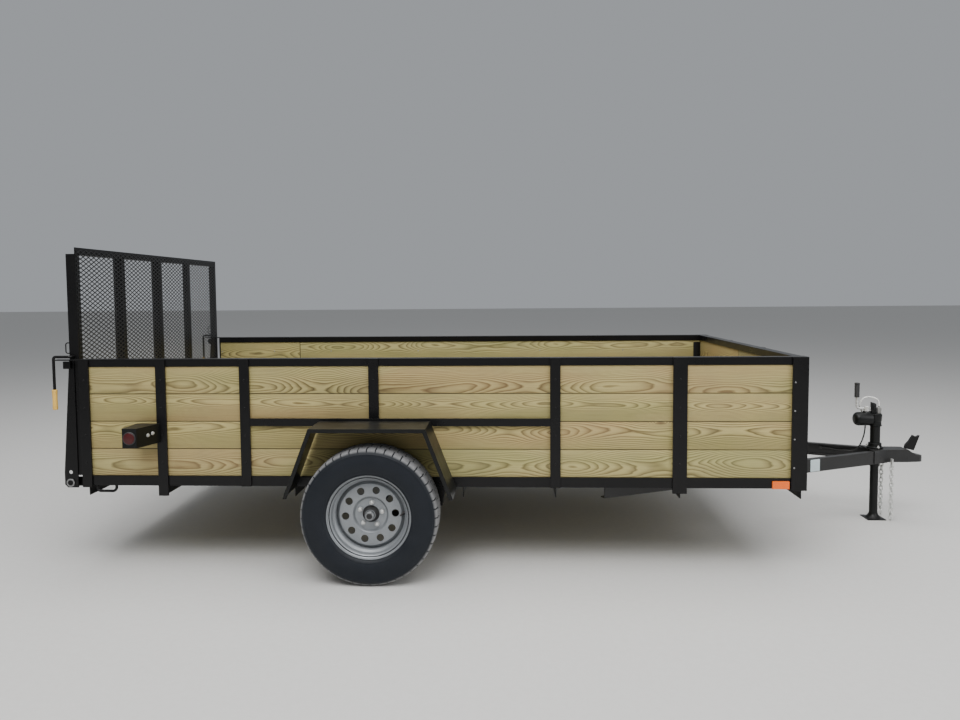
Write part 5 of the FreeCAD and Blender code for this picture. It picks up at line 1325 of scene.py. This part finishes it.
def fasteners():
    """Screws through the posts into every board, and bolts on the light boxes."""
    painted_over = bmesh.new()
    bare = bmesh.new()
    front_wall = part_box("front_boards")[0]
    inner_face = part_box("side_boards_left")[0].y
    right_wall = solids_of("side_boards_right")
    board_rows = sorted({(round(low.z, 4), round(high.z, 4)) for low, high in right_wall})
    for name, side in SIDES:
        for low, high in solids_of("side_posts_" + name):
            face = high.y if side == LEFT else low.y
            if high.x - low.x > POST_WIDTH or high.z - low.z < POST_HEIGHT:
                continue
            for foot, top in board_rows:
                if low.z >= foot or high.z <= top:
                    continue
                spot = Vector(((low.x + high.x) / 2, face, (foot + top) / 2))
                if high.x > front_wall.x:
                    at_edge = (low.x + CORNER_SCREW_IN, face, spot.z - CORNER_SCREW_DOWN)
                    round_head(bare, at_edge, (0, side, 0), BARE_SCREW)
                else:
                    round_head(painted_over, spot, (0, side, 0), PAINTED_SCREW)
                spot.y = side * inner_face
                if spot.x < front_wall.x - CORNER_CLEAR:
                    round_head(bare, spot, (0, -side, 0), BARE_SCREW)
    close_up(painted_over, FINE_GAP)
    finished(painted_over, "board_screws", BLACK_PAINT, "chassis", (), 40)
    close_up(bare, FINE_GAP)
    finished(bare, "bare_screws", WORN_STEEL, "chassis", (), 40)

    bright = bmesh.new()
    for side in (LEFT, RIGHT):
        facing = Vector((LIGHT_BOX_FACING[0], side * LIGHT_BOX_FACING[1], 0)).normalized()
        for x, y, z in LIGHT_BOX_BOLTS:
            bolt_head(bright, (x, side * y, z), facing, 0.0065, 0.005)
    close_up(bright, FINE_GAP)
    finished(bright, "light_box_bolts", ZINC, "chassis", (), 40)


def corner_strips():
    """Steel of the front corner posts that shows inside, between the side boards and the front wall."""
    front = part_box("front_boards")[0]
    side_low, side_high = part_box("side_boards_left")
    bm = bmesh.new()
    for side in (LEFT, RIGHT):
        faces = sorted((side * (side_low.y - STRIP_THICKNESS), side * side_low.y))
        add_box(
            bm, (front.x - CORNER_CLEAR, faces[0], front.z),
            (front.x - 0.0003, faces[1], side_high.z - STRIP_TOP_GAP), 0.0008)
    finished(bm, "inner_corner_strips", BLACK_PAINT, "chassis", (), 40)


def hinge_ends():
    """Worn rims of the gate's hinge tubes, with the pins' ends inside."""
    rims = bmesh.new()
    pins = bmesh.new()
    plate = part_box("hinge_plates")[1]
    for side in (LEFT, RIGHT):
        seat = Vector((HINGE_AXIS[0], side * plate.y, HINGE_AXIS[1]))
        add_disc_stack(rims, seat, (0, side, 0), RIM_TURNING, 36)
        add_disc_stack(pins, seat, (0, side, 0), PIN_TURNING, 28)
    close_up(rims)
    close_up(pins)
    finished(rims, "hinge_tube_rims", WORN_STEEL, "gate", (), 35)
    finished(pins, "hinge_pin_ends", BLACK_PAINT, "chassis", (), 35)


def blank_label():
    """Plain film, with no words, on the near tongue rail's outer face."""
    low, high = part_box("tongue_rails")
    ends = [Vector((x, -(TONGUE_TIP_HALF + (TONGUE_TIP_X - x) * TONGUE_TAPER), 0)) for x in LABEL_SPAN]
    along = (ends[1] - ends[0]).normalized()
    outward = Vector((along.y, -along.x, 0))
    middle = (ends[0] + ends[1]) / 2 + outward * LABEL_THICKNESS
    middle.z = (low.z + high.z) / 2
    size = Vector(((ends[1] - ends[0]).length, LABEL_THICKNESS, high.z - low.z - 0.006))
    turn = Matrix.Rotation(math.atan2(along.y, along.x), 4, "Z")
    bm = bmesh.new()
    verts = bmesh.ops.create_cube(
        bm, size=1.0,
        matrix=Matrix.Translation(middle) @ turn @ Matrix.Diagonal((*size, 1.0)))["verts"]
    corners = [edge for edge in edges_of(verts)
               if abs((edge.verts[0].co - edge.verts[1].co).dot(outward)) > LABEL_THICKNESS / 2]
    bevelled(bm, corners, 0.004, 3)
    finished(bm, "blank_label", LABEL_FILM, "chassis", (), 40)


# Floor, light and camera

def studio():
    """A pale floor under a soft sky, with three area lights as in the photograph."""
    world = bpy.data.worlds.new("soft studio")
    world.use_nodes = True
    back = world.node_tree.nodes["Background"]
    back.inputs[0].default_value = (0.86, 0.9, 0.95, 1.0)
    back.inputs[1].default_value = 0.4
    bpy.context.scene.world = world
    bm = bmesh.new()
    bmesh.ops.create_grid(bm, x_segments=1, y_segments=1, size=60.0)
    floor_finish, tree, surface = new_material("pale floor", Roughness=0.9)
    where = object_place(tree)
    grit = noise(tree, where, 30.0, 6.0, 0.7)
    feed(tree, surface, "Base Color", blend_colours(tree, grit, (0.56, 0.55, 0.53), (0.64, 0.63, 0.61)))
    mesh = bpy.data.meshes.new("floor")
    bm.to_mesh(mesh)
    bm.free()
    mesh.materials.append(floor_finish)
    floor = bpy.data.objects.new("floor", mesh)
    floor.location.z = -0.0005
    bpy.context.scene.collection.objects.link(floor)
    lamps = (
        ("overhead", (0.0, -1.2, 7.0), (0.2, 0.2, 0.6), 9.0, 640.0),
        ("near side", (-1.4, -6.2, 7.8), (0.2, -0.8, 0.6), 5.0, 480.0),
        ("hitch side", (6.0, -4.5, 3.5), (1.2, -0.3, 0.6), 4.0, 160.0),
    )
    for name, place_at, target, size, power in lamps:
        light = bpy.data.lights.new(name, "AREA")
        light.size = size
        light.energy = power
        lamp = bpy.data.objects.new(name, light)
        lamp.location = place_at
        lamp.rotation_euler = (Vector(target) - Vector(place_at)).to_track_quat("-Z", "Y").to_euler()
        bpy.context.scene.collection.objects.link(lamp)


EYE = (-0.0848, -4.7556, 1.416)
YAW, PITCH, ROLL = -0.0512, 0.0617, -0.0081


def camera():
    """The photograph's viewpoint, found from the trailer's own lines."""
    ahead = Vector((math.sin(YAW), math.cos(YAW), 0.0))
    right = Vector((math.cos(YAW), -math.sin(YAW), 0.0))
    view = ahead * math.cos(PITCH) - UP * math.sin(PITCH)
    over = UP * math.cos(PITCH) + ahead * math.sin(PITCH)
    across = right * math.cos(ROLL) + over * math.sin(ROLL)
    over = over * math.cos(ROLL) - right * math.sin(ROLL)
    turn = Matrix((across, over, -view)).transposed().to_4x4()
    data = bpy.data.cameras.new("photograph")
    data.sensor_width = 36.0
    data.lens = 28.52
    data.shift_x = 0.0106
    data.shift_y = -0.0218
    data.clip_end = 200.0
    eye = bpy.data.objects.new("photograph", data)
    eye.matrix_world = Matrix.Translation(EYE) @ turn
    bpy.context.scene.collection.objects.link(eye)
    bpy.context.scene.camera = eye


camera()
studio()
dress_cad_nodes()
boards()
ramp_mesh()
wheels()
running_gear()
jack()
safety_chains()
tie_and_gate_loops()
latches()
lamps()
harness()
fasteners()
corner_strips()
hinge_ends()
blank_label()
